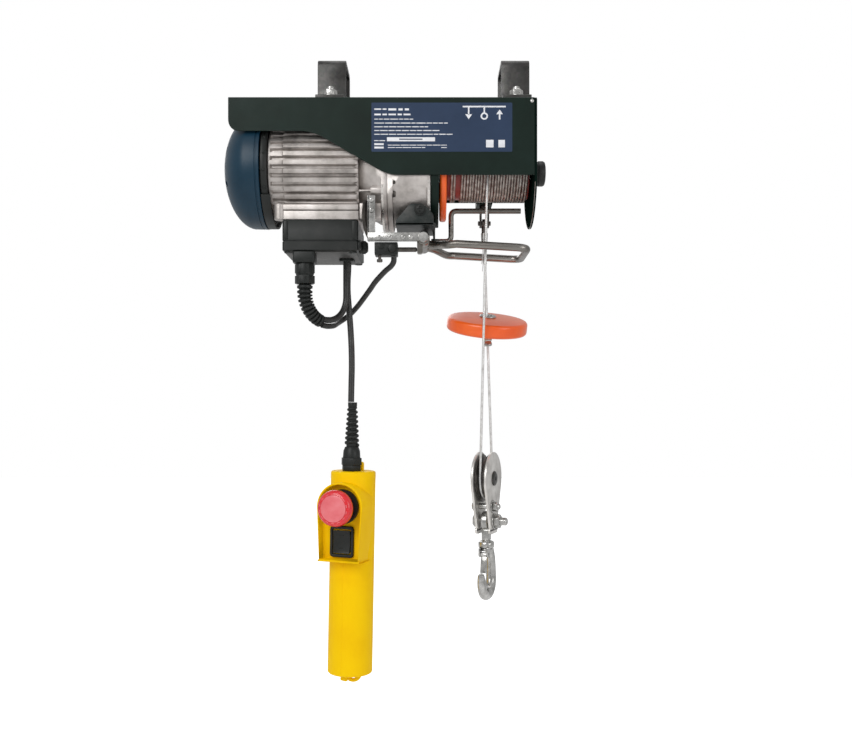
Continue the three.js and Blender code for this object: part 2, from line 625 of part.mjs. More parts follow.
function inletGland() {
	const { radius, length, y, z } = inlet;
	const x = box.right + gap;
	return latheX([
		[x - box.wall - 2 * gap, 0.001], [x - box.wall - 2 * gap, radius - 2 - gap], [x, radius - 2 - gap], [x, radius],
		[x + length - 2, radius], [x + length, radius - 2], [x + length, 0.001],
	], 12).translate(0, y, z);
}

add(boxGroup, 'terminal_box', terminalBox(), 'blackPlastic');
const capacitorZ = boxBottom + box.wall + 14 + gap;
add(boxGroup, 'capacitor', barX(14, box.left + 12, box.left + 70, 12, capacitorZ, 20), 'zinc');
add(boxGroup, 'cable_gland', cableGland(), 'blackPlastic');
add(boxGroup, 'gland_relief', glandRelief(), 'blackPlastic');
add(boxGroup, 'inlet_gland', inletGland(), 'blackPlastic');

// Limit gear: two levers, a switch and what holds them
const limitGroup = new THREE.Group();
group.add(limitGroup);

function limitBracket() {
	const { x, y, bar, top, bottomZ } = bracket;
	const arm = slab(x, x + bar, y - bar / 2, y + bar / 2, bottomZ - bar / 2, top);
	const beam = slab(x, lever.pivotX + lever.pinR + 3, y - bar / 2, y + bar / 2, bottomZ - bar / 2, bottomZ + bar / 2);
	const pin = barY(lever.pinR, y, lever.hubRear + support.sheet + 2, lever.pivotX, lever.pivotZ);
	return join(arm, beam, pin);
}

function leverSupport() {
	const { sheet, front, left, right, top, shelf, lugHalf } = support;
	const faceShape = outline([
		[left, shelf], [left, shelf + 5], [left + 15, top, 3], [right - 12, top, 8], [right - 2, top - 12, 3], [right - 2, shelf],
	]);
	const face = plateXZ(faceShape, front, front + sheet, 3);
	const rearY = lever.hubRear + 2 * runGap;
	const deck = slab(left, right, front, rearY + sheet, shelf, shelf + sheet);
	const rearLug = slab(lever.pivotX - lugHalf, lever.pivotX + lugHalf, rearY, rearY + sheet, lever.pivotZ - lugHalf, shelf + 1);
	const lugX = lowLever.left + 2;
	const sideLug = slab(lugX, lugX + sheet, lowLever.y - lugHalf, lowLever.y + lugHalf, lowLever.z - lugHalf, shelf + 1);
	const pinHole = barY(lever.pinR + gap, rearY - 1, rearY + sheet + 1, lever.pivotX, lever.pivotZ);
	const rodHole = barX(boreFor(lowLever.rodR, 12), lugX - 1, lugX + sheet + 1, lowLever.y, lowLever.z, 12);
	return cut(join(face, deck, rearLug, sideLug), pinHole, rodHole);
}

// The bent rod that the limit weight lifts. Its finger holds the switch rod in until then.
function upperLever() {
	const { pivotX, pivotZ, hubR, hubRear, rodR, half: side, reach, startX, droop, finger } = lever;
	const low = pivotZ - 6;
	const end = low - droop;
	const bend = 12;
	const hubFront = bracket.y + bracket.bar / 2 + runGap;
	const arm = (sign) => [
		[pivotX + 2, sign * (hubRear - 9), pivotZ - 1], [pivotX + 13, sign * (hubRear - 3), pivotZ - 3],
		[startX - 4, sign * (side - 6), low], [startX + 6, sign * side, low], [reach - bend, sign * side, end],
		[reach - bend / 4, sign * (side - bend / 4), end], [reach, sign * (side - bend), end],
	];
	const bar = rod([...arm(-1), ...arm(1).reverse()], rodR, 40, 8);
	const hub = barY(hubR, hubFront, hubRear, pivotX, pivotZ, 16);
	const push = slab(pivotX - hubR, pivotX - 1, limitSwitch.y - 4, limitSwitch.y + 4, pivotZ - finger, pivotZ);
	return cut(join(bar, hub, push), barY(boreFor(lever.pinR, 16), hubFront - 1, hubRear + 1, pivotX, pivotZ));
}

// The bent rod that feels for the last turns on the drum
function lowerLever() {
	const { y, z, belowDrum, rodR, left, legX, right, bend } = lowLever;
	const high = axisZ - drumSize.barrelR - belowDrum;
	return rod([
		[left, y, z], [legX - bend, y, z], [legX - 1.5, y, z + 1.5], [legX, y, z + bend], [legX, y, high - bend],
		[legX + 1.5, y, high - 1.5], [legX + bend, y, high], [right, y, high],
	], rodR, 26, 8);
}

function switchBody() {
	const { left, right, y, depth, height, rodR } = limitSwitch;
	const top = bracket.bottomZ - bracket.bar / 2 - gap;
	const body = slab(left, right, y - depth / 2, y + depth / 2, top - height, top);
	return cut(body, barX(boreFor(rodR, 12), right - 6, right + 1, y, top - height / 2, 12));
}

function switchRod() {
	const z = bracket.bottomZ - bracket.bar / 2 - gap - limitSwitch.height / 2;
	return barX(limitSwitch.rodR, limitSwitch.right - 3, lever.pivotX - lever.hubR - gap, limitSwitch.y, z, 12);
}

add(limitGroup, 'limit_bracket', limitBracket(), 'zinc');
add(limitGroup, 'lever_support', leverSupport(), 'blackPaint');
add(limitGroup, 'upper_lever', upperLever(), 'zinc');
add(limitGroup, 'lower_lever', lowerLever(), 'zinc');
add(limitGroup, 'limit_switch', switchBody(), 'blackPlastic');
add(limitGroup, 'switch_rod', switchRod(), 'blackPlastic');

// Rope anchor, rope falls and the limit weight that slides on the rear fall
const ropeGroup = new THREE.Group();
group.add(ropeGroup);

function anchorBracket() {
	const { x, y, studR, plate, plateHalf: wide, leg: height } = anchor;
	const rear = half - frame.sheet - gap;
	const shelf = slab(x - wide, x + wide, y - 8, rear, anchorZ, anchorZ + plate);
	const leg = slab(x - wide, x + wide, rear - plate, rear, anchorZ, anchorZ + height);
	return cut(join(shelf, leg), barZ(studR + gap, anchorZ - 1, anchorZ + plate + 1, x, y, 12));
}

function ropeAnchor() {
	const { x, y, top, foot, length, studR, nut, plate } = anchor;
	const low = anchorZ - gap;
	const nutLow = anchorZ + plate + gap;
	return latheZ([
		[low - length, 0.001], [low - length, foot], [low - length + 14, foot + 0.4], [low - 8, top], [low, top],
		[low, studR], [nutLow, studR], [nutLow, studR + nut], [anchorZ + 5, studR + nut],
		[anchorZ + 5, 0.001],
	], 12).translate(x, y, 0);
}

const blockTurn = THREE.MathUtils.degToRad(block.turn);
const ropeR = drumSize.ropeR;
const pitchR = sheaveSize.groove + ropeR + 0.8;
const across = new THREE.Vector3(-Math.sin(blockTurn), Math.cos(blockTurn), 0); // from front fall to rear fall
const blockPlace = new THREE.Vector3(block.x, block.y, block.z);
const fallTop = new THREE.Vector3(anchor.x, ropeTopY, axisZ - 2);
const fallEnd = new THREE.Vector3(anchor.x, anchor.y, anchorZ - anchor.length - 2 * gap);
const rearTangent = blockPlace.clone().addScaledVector(across, pitchR);

function ropeFalls() {
	const points = [fallTop];
	const frontTangent = blockPlace.clone().addScaledVector(across, -pitchR);
	for (const share of [0.5, 0.9, 0.96]) points.push(fallTop.clone().lerp(frontTangent, share));
	for (let degrees = 0; degrees <= 180; degrees += 18) {
		const angle = THREE.MathUtils.degToRad(degrees);
		points.push(blockPlace.clone().addScaledVector(across, -pitchR * Math.cos(angle))
			.addScaledVector(axisUp, -pitchR * Math.sin(angle)));
	}
	for (const share of [0.04, 0.1, 0.5, 1]) points.push(rearTangent.clone().lerp(fallEnd, share));
	return rod(points.map((p) => p.toArray()), ropeR, 76, 6);
}

// A place on the rear fall at this height
function onRearFall(z) {
	return rearTangent.clone().lerp(fallEnd, (z - rearTangent.z) / (fallEnd.z - rearTangent.z));
}

function limitWeight() {
	const { radius, thick, bushR, holeR, bushRise } = weight;
	const t = thick / 2;
	return latheZ([
		[-t, holeR], [-t, radius - 5], [-t + 1.5, radius - 1.5], [-t + 5, radius], [t - 5, radius],
		[t - 1.5, radius - 1.5], [t, radius - 5], [t, bushR], [t + bushRise, bushR - 0.5], [t + bushRise, holeR],
	]);
}

function stopSleeve() {
	const { sleeveR, sleeve } = weight;
	const along = fallEnd.clone().sub(rearTangent).normalize();
	const geometry = latheZ([[-sleeve, ropeR + gap], [0, ropeR + gap], [0, sleeveR], [-sleeve, sleeveR]], 12);
	return geometry.applyQuaternion(new THREE.Quaternion().setFromUnitVectors(axisUp, along));
}

add(ropeGroup, 'anchor_bracket', anchorBracket(), 'blackPaint');
add(ropeGroup, 'rope_anchor', ropeAnchor(), 'zinc');
add(ropeGroup, 'rope_falls', ropeFalls(), 'wireRope');
const weightMesh = add(ropeGroup, 'limit_weight', limitWeight(), 'orangePaint');
weightMesh.position.copy(onRearFall(weight.z));
weightMesh.rotation.set(THREE.MathUtils.degToRad(weight.tiltX), THREE.MathUtils.degToRad(weight.tiltY), 0);
add(ropeGroup, 'stop_sleeve', stopSleeve(), 'zinc').position.copy(onRearFall(weight.z - weight.thick / 2 - 2.5));

// Hook block. Its own X axis is the sheave's axis.
const blockGroup = new THREE.Group();
blockGroup.position.copy(blockPlace);
blockGroup.rotation.z = blockTurn;
group.add(blockGroup);

function blockPlate(side) {
	const { plate, inside: space, plateR, foot, footHalf } = block;
	const start = side > 0 ? space / 2 : -space / 2 - plate;
	const shape = new THREE.Shape();
	shape.moveTo(footHalf - 5, -foot);
	shape.quadraticCurveTo(footHalf, -foot, footHalf, -foot + 6);
	shape.lineTo(plateR, -6);
	shape.absarc(0, 0, plateR, 0, Math.PI, false);
	shape.lineTo(-plateR, -6);
	shape.lineTo(-footHalf, -foot + 6);
	shape.quadraticCurveTo(-footHalf, -foot, -footHalf + 5, -foot);
	shape.closePath();
	const body = plateYZ(shape, start, start + plate, 12);
	const holes = [[sheaveSize.pinR, 0], [crosshead.radius, -crosshead.drop]];
	return cut(body, ...holes.map(([r, z]) => barX(r + gap, start - 1, start + plate + 1, 0, z)));
}

function sheave() {
	const { radius, groove, width, pinR } = sheaveSize;
	const w = width / 2;
	const floor = ropeR + 0.7;
	return latheX([
		[-w, boreFor(pinR)], [w, boreFor(pinR)], [w, radius], [w - 1.2, radius], [floor, groove + ropeR],
		[floor - 1, groove], [1 - floor, groove], [-floor, groove + ropeR], [1.2 - w, radius], [-w, radius],
	]);
}

function crossheadBolt() {
	const { radius, headR, head, nutSide, drop } = crosshead;
	const side = block.inside / 2 + block.plate + gap;
	return latheX([
		[-side - head, 0.001], [-side - head, headR], [-side, headR], [-side, radius], [side, radius], [side, headR],
		[side + head + 1, headR], [side + head + 1, radius], [nutSide, radius], [nutSide, 0.001],
	], 12).translate(0, 0, -drop);
}

add(blockGroup, 'block_plate_left', blockPlate(-1), 'galvanised');
add(blockGroup, 'block_plate_right', blockPlate(1), 'galvanised');
const pinHead = block.inside / 2 + block.plate;
add(blockGroup, 'sheave_pin', barX(sheaveSize.pinR, -pinHead, pinHead, 0, 0, shaftSides), 'galvanised');
add(blockGroup, 'crosshead_bolt', crossheadBolt(), 'galvanised');
add(blockGroup, 'sheave', sheave(), 'zinc');

function hookEye() {
	const { eyeR, eyeHalf, stemR, radius, drop } = crosshead;
	const { headTop, head } = hookSize;
	const eye = barX(eyeR, -eyeHalf, eyeHalf, 0, -drop, shaftSides);
	const neck = slab(-eyeHalf, eyeHalf, -6, 6, headTop + runGap, -drop - eyeR + 3);
	const stem = barZ(stemR, headTop - head - 1, headTop + 1, 0, 0, shaftSides);
	const rivet = barZ(stemR + 2.2, headTop - head - runGap - 3, headTop - head - runGap, 0, 0, shaftSides);
	return cut(join(eye, neck, stem, rivet), barX(boreFor(radius), -eyeHalf - 1, eyeHalf + 1, 0, -drop, shaftSides));
}

function hook() {
	const { headTop, head, headR, bowlZ, bowlR, barR, tipZ } = hookSize;
	const low = headTop - head;
	const points = [[0, headR - 3, headTop - head / 2 - 0.5], [0, headR + 4, low - 5], [0, bowlR - 1, bowlZ + 16]];
	for (let degrees = 0; degrees >= -180; degrees -= 30) {
		const angle = THREE.MathUtils.degToRad(degrees);
		points.push([0, bowlR * Math.cos(angle), bowlZ + bowlR * Math.sin(angle)]);
	}
	points.push([0, -bowlR - 0.5, tipZ]);
	const bar = rod(points, barR, 22, 8);
	const top = barZ(headR, low, headTop, 0, 0, shaftSides);
	const { y, z, hubR, half: wide, ear, pinR } = latchSize;
	const ears = [-1, 1].map((side) => {
		const inner = side * (wide + runGap);
		const outer = side * (wide + runGap + ear);
		return slab(Math.min(inner, outer), Math.max(inner, outer), y - hubR, y + hubR + 1, z - hubR, low + 1);
	});
	const bores = [
		barZ(boreFor(crosshead.stemR), low - 1, headTop + 1, 0, 0, shaftSides),
		barZ(crosshead.stemR + 2.2 + 2 * runGap, low - 4.5, low, 0, 0, shaftSides),
		barX(boreFor(pinR, 12), -wide - 5, wide + 5, y, z, 12),
	];
	return cut(join(top, bar, ...ears), ...bores);
}

function hookLatch() {
	const { y, z, hubR, half: wide, length, lean, ear, pinR } = latchSize;
	const hub = barX(hubR - 0.4, -wide, wide, y, z, 16);
	const strip = slab(-wide, wide, -1, 1, -length, 0).rotateX(-THREE.MathUtils.degToRad(lean)).translate(0, y, z);
	const pin = barX(pinR, -wide - ear - runGap, wide + ear + runGap, y, z, 12);
	return join(hub, strip, pin);
}

add(blockGroup, 'hook_eye', hookEye(), 'galvanised');
add(blockGroup, 'hook', hook(), 'galvanised');
add(blockGroup, 'latch', hookLatch(), 'galvanised');

// Pendant control. Its own -Y axis is the way its console faces, and its top is at Z = 0.
const leanGroup = new THREE.Group();
leanGroup.position.set(pendant.x, pendant.y, pendant.z);
leanGroup.rotation.y = THREE.MathUtils.degToRad(pendant.lean);
group.add(leanGroup);
const pendantGroup = new THREE.Group();
pendantGroup.rotation.z = THREE.MathUtils.degToRad(pendant.turn);
leanGroup.add(pendantGroup);

function pendantTube(shrink) {
	const { radius, length, endRound } = pendant;
	const r = radius - shrink;
	return latheZ([
		[-length + shrink, 0.001], [-length + shrink, r - endRound], [-length + shrink + endRound, r],
		[-shrink - endRound, r], [-shrink, r - endRound], [-shrink, 0.001],
	], 24);
}

function pendantHalf(front) {
	const { radius, wall, length, split, consoleHalf, consoleOut, recess, rim, consoleTop, consoleFoot, glandY } = pendant;
	const side = (shrink, out) => {
		const w = consoleHalf - shrink;
		return plateXZ(outline([
			[-w, consoleFoot + shrink, 4], [w, consoleFoot + shrink, 4], [w, consoleTop - shrink, w - 3],
			[-w, consoleTop - shrink, w - 3],
		]), -out, -split, 6);
	};
	const halfSpace = front ? slab(-60, 60, -60, -split / 2, -length - 5, 5) : slab(-60, 60, split / 2, 60, -length - 5, 5);
	const glandHole = barZ(8 + gap, -wall - 1, 1, 0, glandY, 16);
	if (!front) return common(cut(pendantTube(0), pendantTube(wall), glandHole), halfSpace);
	const ahead = -consoleOut - 1;
	const behind = -radius / 2;
	const estopHole = barY(boreFor(estop.stemR), ahead, behind, 0, estop.z, shaftSides);
	const w = rocker.width / 2 + gap;
	const window = slab(-w, w, ahead, behind, rocker.z - rocker.height / 2 - gap, rocker.z + rocker.height / 2 + gap);
	const floor = consoleOut - recess;
	const tray = cut(side(rim, consoleOut + 1), slab(-60, 60, -floor, 0, -length, 5));
	const shell = cut(join(pendantTube(0), side(0, consoleOut)), pendantTube(wall), side(rim, floor - wall), tray);
	return common(cut(shell, glandHole, estopHole, window), halfSpace);
}

function pendantGland() {
	const { wall, reliefTop, reliefEndR, glandY } = pendant;
	return latheZ([
		[-wall, 0.001], [-wall, 8], [gap, 8], [gap, 11], [7, 11], [7, 9], [14, 9], [14, 8], [20, 9.5],
		[reliefTop, reliefEndR], [reliefTop, 0.001],
	], 12).translate(0, glandY, 0);
}

// The mushroom head turns on the stem that carries it
function estopStem() {
	const { z, stemR, lift } = estop;
	const { consoleOut, recess } = pendant;
	return barY(stemR, -consoleOut - lift - 4, recess - consoleOut + 9, 0, z, shaftSides);
}

function estopHead() {
	const { z, stemR, headR, head, lift } = estop;
	const face = -pendant.consoleOut - lift;
	const domed = lathe([
		[0, 0.001], [0, headR - 4], [1.5, headR - 1], [4, headR], [head - 3, headR], [head, headR - 2],
		[head, boreFor(stemR)], [head - 7, boreFor(stemR)], [head - 7, 0.001], [0, 0.001],
	], 28);
	return domed.translate(0, face - head, z);
}

function rockerKey() {
	const { z, width, height, rise, depth } = rocker;
	const face = pendant.recess - pendant.consoleOut;
	const h = height / 2 - 1;
	const side = outline([
		[face - rise, z + h, 2], [face - rise + 1.5, z], [face - rise, z - h, 2], [face + depth, z - h + 3], [face + depth, z + h - 3],
	]);
	return plateYZ(side, -width / 2 + 0.4, width / 2 - 0.4, 3);
}

add(pendantGroup, 'pendant_front', pendantHalf(true), 'yellowPlastic');
add(pendantGroup, 'pendant_back', pendantHalf(false), 'yellowPlastic');
add(pendantGroup, 'pendant_gland', pendantGland(), 'blackPlastic');
add(pendantGroup, 'estop_stem', estopStem(), 'blackPlastic');
add(pendantGroup, 'estop_button', estopHead(), 'redPlastic');
add(pendantGroup, 'rocker_key', rockerKey(), 'blackPlastic');

// Cables, whose points are chosen by hand
const pendantCable = [
	[-86.3, 17.6, -164.9], [-86.6, 17.6, -176], [-87.2, 17.4, -188], [-87.2, 17.0, -200], [-86.3, 16.4, -213],
	[-85.2, 15.6, -226], [-84.1, 14.6, -239], [-83.2, 13.5, -252], [-82.5, 12.4, -265], [-82.1, 11.3, -278],
	[-82.0, 10.3, -291], [-82.2, 9.4, -303], [-82.4, 8.7, -315], [-82.6, 8.3, -327.4],
];
const limitCable = [
	[-32.5, -32, -169.2], [-32.8, -31.6, -174], [-36, -27.5, -178.3], [-41.9, -20, -182], [-48.5, -12.5, -187.4],
	[-54.7, -5, -193], [-60.8, 4, -200], [-66.5, 12, -206.3], [-71.4, 18, -211.8], [-77, 24, -217.8], [-84.4, 28.4, -225],
	[-91.6, 27.4, -231], [-97, 20.4, -235.6], [-100, 10.5, -239], [-101.4, 0.4, -241.3], [-104.5, -7, -242.5],
	[-108.6, -11.3, -242.8], [-113.2, -16, -242.0],
];
const loopCable = [
	[-112.7, -15.3, -235.1], [-110.2, -12.8, -235.7], [-106.1, -8.6, -235.8], [-102.3, -4.7, -234.9], [-98.6, -0.9, -232.9],
	[-95.1, 2.7, -229.6], [-92.1, 5.7, -225.1], [-89.9, 8.0, -219.3], [-88.6, 9.3, -213.0], [-88.3, 9.6, -206],
	[-88.3, 9.6, -198], [-88.3, 9.6, -190], [-88.3, 9.6, -182], [-88.3, 9.6, -173], [-88.3, 9.6, -164.9],
];
add(group, 'pendant_cable', rod(pendantCable, cable.radius, 14, 8), 'cableRubber');
add(group, 'limit_cable', rod(limitCable, cable.limitRadius, 20, 8), 'cableRubber');
add(group, 'loop_cable', rod(loopCable, cable.radius, 14, 8), 'cableRubber');

export default group;
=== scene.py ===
import math
import random
import bpy
import bmesh
from mathutils import Matrix, Vector


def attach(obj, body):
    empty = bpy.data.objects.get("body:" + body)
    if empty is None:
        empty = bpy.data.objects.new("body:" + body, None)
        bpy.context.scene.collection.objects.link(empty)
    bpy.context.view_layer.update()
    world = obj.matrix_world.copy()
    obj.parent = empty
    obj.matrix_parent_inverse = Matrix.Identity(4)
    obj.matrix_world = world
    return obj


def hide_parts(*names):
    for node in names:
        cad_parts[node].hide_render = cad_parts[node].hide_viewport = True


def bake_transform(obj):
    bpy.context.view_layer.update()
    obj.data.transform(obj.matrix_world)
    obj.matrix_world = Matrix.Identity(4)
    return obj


# Electric wire rope hoist. Sizes are in millimetres here and become metres when a mesh is made.
# +X runs along the drum, +Y to the rear, +Z up, and Z = 0 is the seat that the pole rests on.
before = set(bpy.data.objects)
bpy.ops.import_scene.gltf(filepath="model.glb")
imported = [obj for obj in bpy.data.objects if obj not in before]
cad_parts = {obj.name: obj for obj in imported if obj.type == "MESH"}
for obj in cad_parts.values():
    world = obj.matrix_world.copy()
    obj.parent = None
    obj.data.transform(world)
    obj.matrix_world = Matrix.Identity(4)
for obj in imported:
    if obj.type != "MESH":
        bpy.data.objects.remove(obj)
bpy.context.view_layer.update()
scene = bpy.context.scene
scene.view_settings.view_transform = "Standard"
mm = 0.001
axisZ = -70  # the drum's and the motor's axis
print("frame loaded")

# Camera
viewpoint = {"place": (4.9, -1090, -331), "lens": 40.78, "shiftX": -0.00235, "shiftY": 0.0423}
cameraData = bpy.data.cameras.new("camera")
cameraData.lens, cameraData.sensor_width = viewpoint["lens"], 36
cameraData.shift_x, cameraData.shift_y = viewpoint["shiftX"], viewpoint["shiftY"]
camera = bpy.data.objects.new("camera", cameraData)
camera.location = [v * mm for v in viewpoint["place"]]
camera.rotation_euler = (math.radians(90), 0, 0)
scene.collection.objects.link(camera)
scene.camera = camera

# Finishes. Each is one recipe: tones from dark to light, the size of its patches in mm, its gloss,
# and the relief of its surface.
recipes = {
    "blackCoat": {"tones": [(0.002, 0.009, 0.006), (0.003, 0.012, 0.008), (0.005, 0.016, 0.012)], "patch": 40,
                  "gloss": (0.4, 0.55), "relief": (1.4, 0.06), "metal": 0.0, "shine": 0.2},
    "dullCoat": {"tones": [(0.003, 0.008, 0.006), (0.004, 0.010, 0.008), (0.006, 0.014, 0.011)], "patch": 40,
                 "gloss": (0.85, 0.95), "relief": (1.4, 0.03), "metal": 0.0, "shine": 0.0},
    "wornCoat": {"tones": [(0.010, 0.014, 0.013), (0.016, 0.021, 0.020), (0.05, 0.05, 0.047)], "patch": 14,
                 "gloss": (0.36, 0.5), "relief": (1.2, 0.08), "metal": 0.0, "shine": 0.3},
    "blackMoulding": {"tones": [(0.008, 0.010, 0.009), (0.013, 0.015, 0.014), (0.021, 0.022, 0.021)], "patch": 18,
                      "gloss": (0.34, 0.52), "relief": (0.7, 0.06), "metal": 0.0, "shine": 0.32},
    "greyMoulding": {"tones": [(0.030, 0.030, 0.028), (0.045, 0.044, 0.041), (0.06, 0.058, 0.054)], "patch": 18,
                     "gloss": (0.38, 0.55), "relief": (0.8, 0.08), "metal": 0.0},
    "castAluminium": {"tones": [(0.30, 0.275, 0.255), (0.50, 0.465, 0.44), (0.66, 0.62, 0.595)], "patch": 22,
                      "gloss": (0.34, 0.56), "relief": (0.9, 0.3), "metal": 0.75, "grime": (0.06, 0.052, 0.047)},
    "machinedAluminium": {"tones": [(0.52, 0.49, 0.46), (0.66, 0.63, 0.60), (0.80, 0.77, 0.74)], "patch": 14,
                          "gloss": (0.2, 0.36), "relief": (0.5, 0.05), "metal": 0.85, "brushed": "x"},
    "bluePaint": {"tones": [(0.003, 0.021, 0.040), (0.004, 0.028, 0.052), (0.007, 0.035, 0.063)], "patch": 60,
                  "gloss": (0.3, 0.44), "relief": (2.2, 0.05), "metal": 0.0, "shine": 0.3},
    "galvanised": {"tones": [(0.034, 0.030, 0.024), (0.058, 0.052, 0.043), (0.092, 0.085, 0.074)], "patch": 22,
                   "gloss": (0.3, 0.46), "relief": (1.6, 0.1), "metal": 0.65, "spangle": True},
    "brightZinc": {"tones": [(0.30, 0.30, 0.285), (0.48, 0.475, 0.46), (0.70, 0.69, 0.67)], "patch": 8,
                   "gloss": (0.16, 0.32), "relief": (1.0, 0.1), "metal": 0.9},
    # Steel for the hook block's side plates. Its tones are made paler to paint in the white reflection that the
    # plates show.
    "steelPaintedReflection": {"tones": [(0.46, 0.445, 0.42), (0.66, 0.64, 0.61), (0.84, 0.82, 0.79)], "patch": 16,
                  "gloss": (0.26, 0.42), "relief": (1.2, 0.08), "metal": 0.6},
    "darkSteel": {"tones": [(0.045, 0.040, 0.036), (0.085, 0.077, 0.07), (0.16, 0.148, 0.135)], "patch": 10,
                  "gloss": (0.3, 0.48), "relief": (1.0, 0.12), "metal": 0.75},
    "rodSteel": {"tones": [(0.12, 0.112, 0.10), (0.22, 0.207, 0.19), (0.38, 0.36, 0.335)], "patch": 14,
                 "gloss": (0.2, 0.36), "relief": (0.8, 0.06), "metal": 0.9, "brushed": "x"},
    "orangePaint": {"tones": [(0.82, 0.095, 0.006), (0.89, 0.12, 0.009), (0.93, 0.15, 0.015)], "patch": 40,
                    "gloss": (0.24, 0.36), "relief": (6.0, 0.01), "metal": 0.0, "coat": 0.25},
    "flangePaint": {"tones": [(0.90, 0.10, 0.008), (0.95, 0.125, 0.010), (0.97, 0.15, 0.015)], "patch": 20,
                    "gloss": (0.28, 0.42), "relief": (1.6, 0.08), "metal": 0.0, "coat": 0.2},
    "drumPaint": {"tones": [(0.20, 0.022, 0.018), (0.29, 0.034, 0.026), (0.36, 0.05, 0.036)], "patch": 12,
                  "gloss": (0.35, 0.5), "relief": (1.2, 0.12), "metal": 0.0},
    "ropeWire": {"tones": [(0.52, 0.51, 0.495), (0.70, 0.69, 0.675), (0.86, 0.855, 0.845)], "patch": 5,
                 "gloss": (0.26, 0.42), "relief": (0.35, 0.1), "metal": 0.55},
    "drumWire": {"tones": [(0.22, 0.175, 0.155), (0.44, 0.385, 0.35), (0.74, 0.70, 0.66)], "patch": 6,
                 "gloss": (0.24, 0.42), "relief": (0.35, 0.1), "metal": 0.8},
    "yellowMoulding": {"tones": [(0.91, 0.53, 0.0003), (0.96, 0.59, 0.0005), (0.98, 0.635, 0.0008)], "patch": 60,
                       "gloss": (0.42, 0.54), "relief": (0.9, 0.04), "metal": 0.0, "shine": 0.08},
    "redMoulding": {"tones": [(0.62, 0.010, 0.018), (0.74, 0.018, 0.028), (0.82, 0.04, 0.05)], "patch": 20,
                    "gloss": (0.2, 0.32), "relief": (0.8, 0.03), "metal": 0.0, "coat": 0.4, "scatter": 0.05},
    "redCentre": {"tones": [(0.74, 0.12, 0.14), (0.80, 0.17, 0.19), (0.84, 0.23, 0.25)], "patch": 14,
                  "gloss": (0.25, 0.4), "relief": (0.8, 0.03), "metal": 0.0, "coat": 0.2},
    "copperWire": {"tones": [(0.32, 0.11, 0.05), (0.46, 0.17, 0.08), (0.56, 0.24, 0.13)], "patch": 6,
                   "gloss": (0.28, 0.45), "relief": (0.5, 0.2), "metal": 0.9},
    "cableSheath": {"tones": [(0.012, 0.012, 0.012), (0.020, 0.020, 0.019), (0.032, 0.032, 0.030)], "patch": 14,
                    "gloss": (0.3, 0.44), "relief": (0.6, 0.04), "metal": 0.0},
    "labelFilm": {"tones": [(0.019, 0.036, 0.076), (0.022, 0.041, 0.086), (0.026, 0.047, 0.097)], "patch": 50,
                  "gloss": (0.34, 0.46), "relief": (3.0, 0.02), "metal": 0.0, "shine": 0.25},
    "labelPrint": {"tones": [(0.66, 0.67, 0.70), (0.76, 0.77, 0.80), (0.84, 0.85, 0.88)], "patch": 10,
                   "gloss": (0.35, 0.45), "relief": (1.0, 0.02), "metal": 0.0},
}
finishes = {}


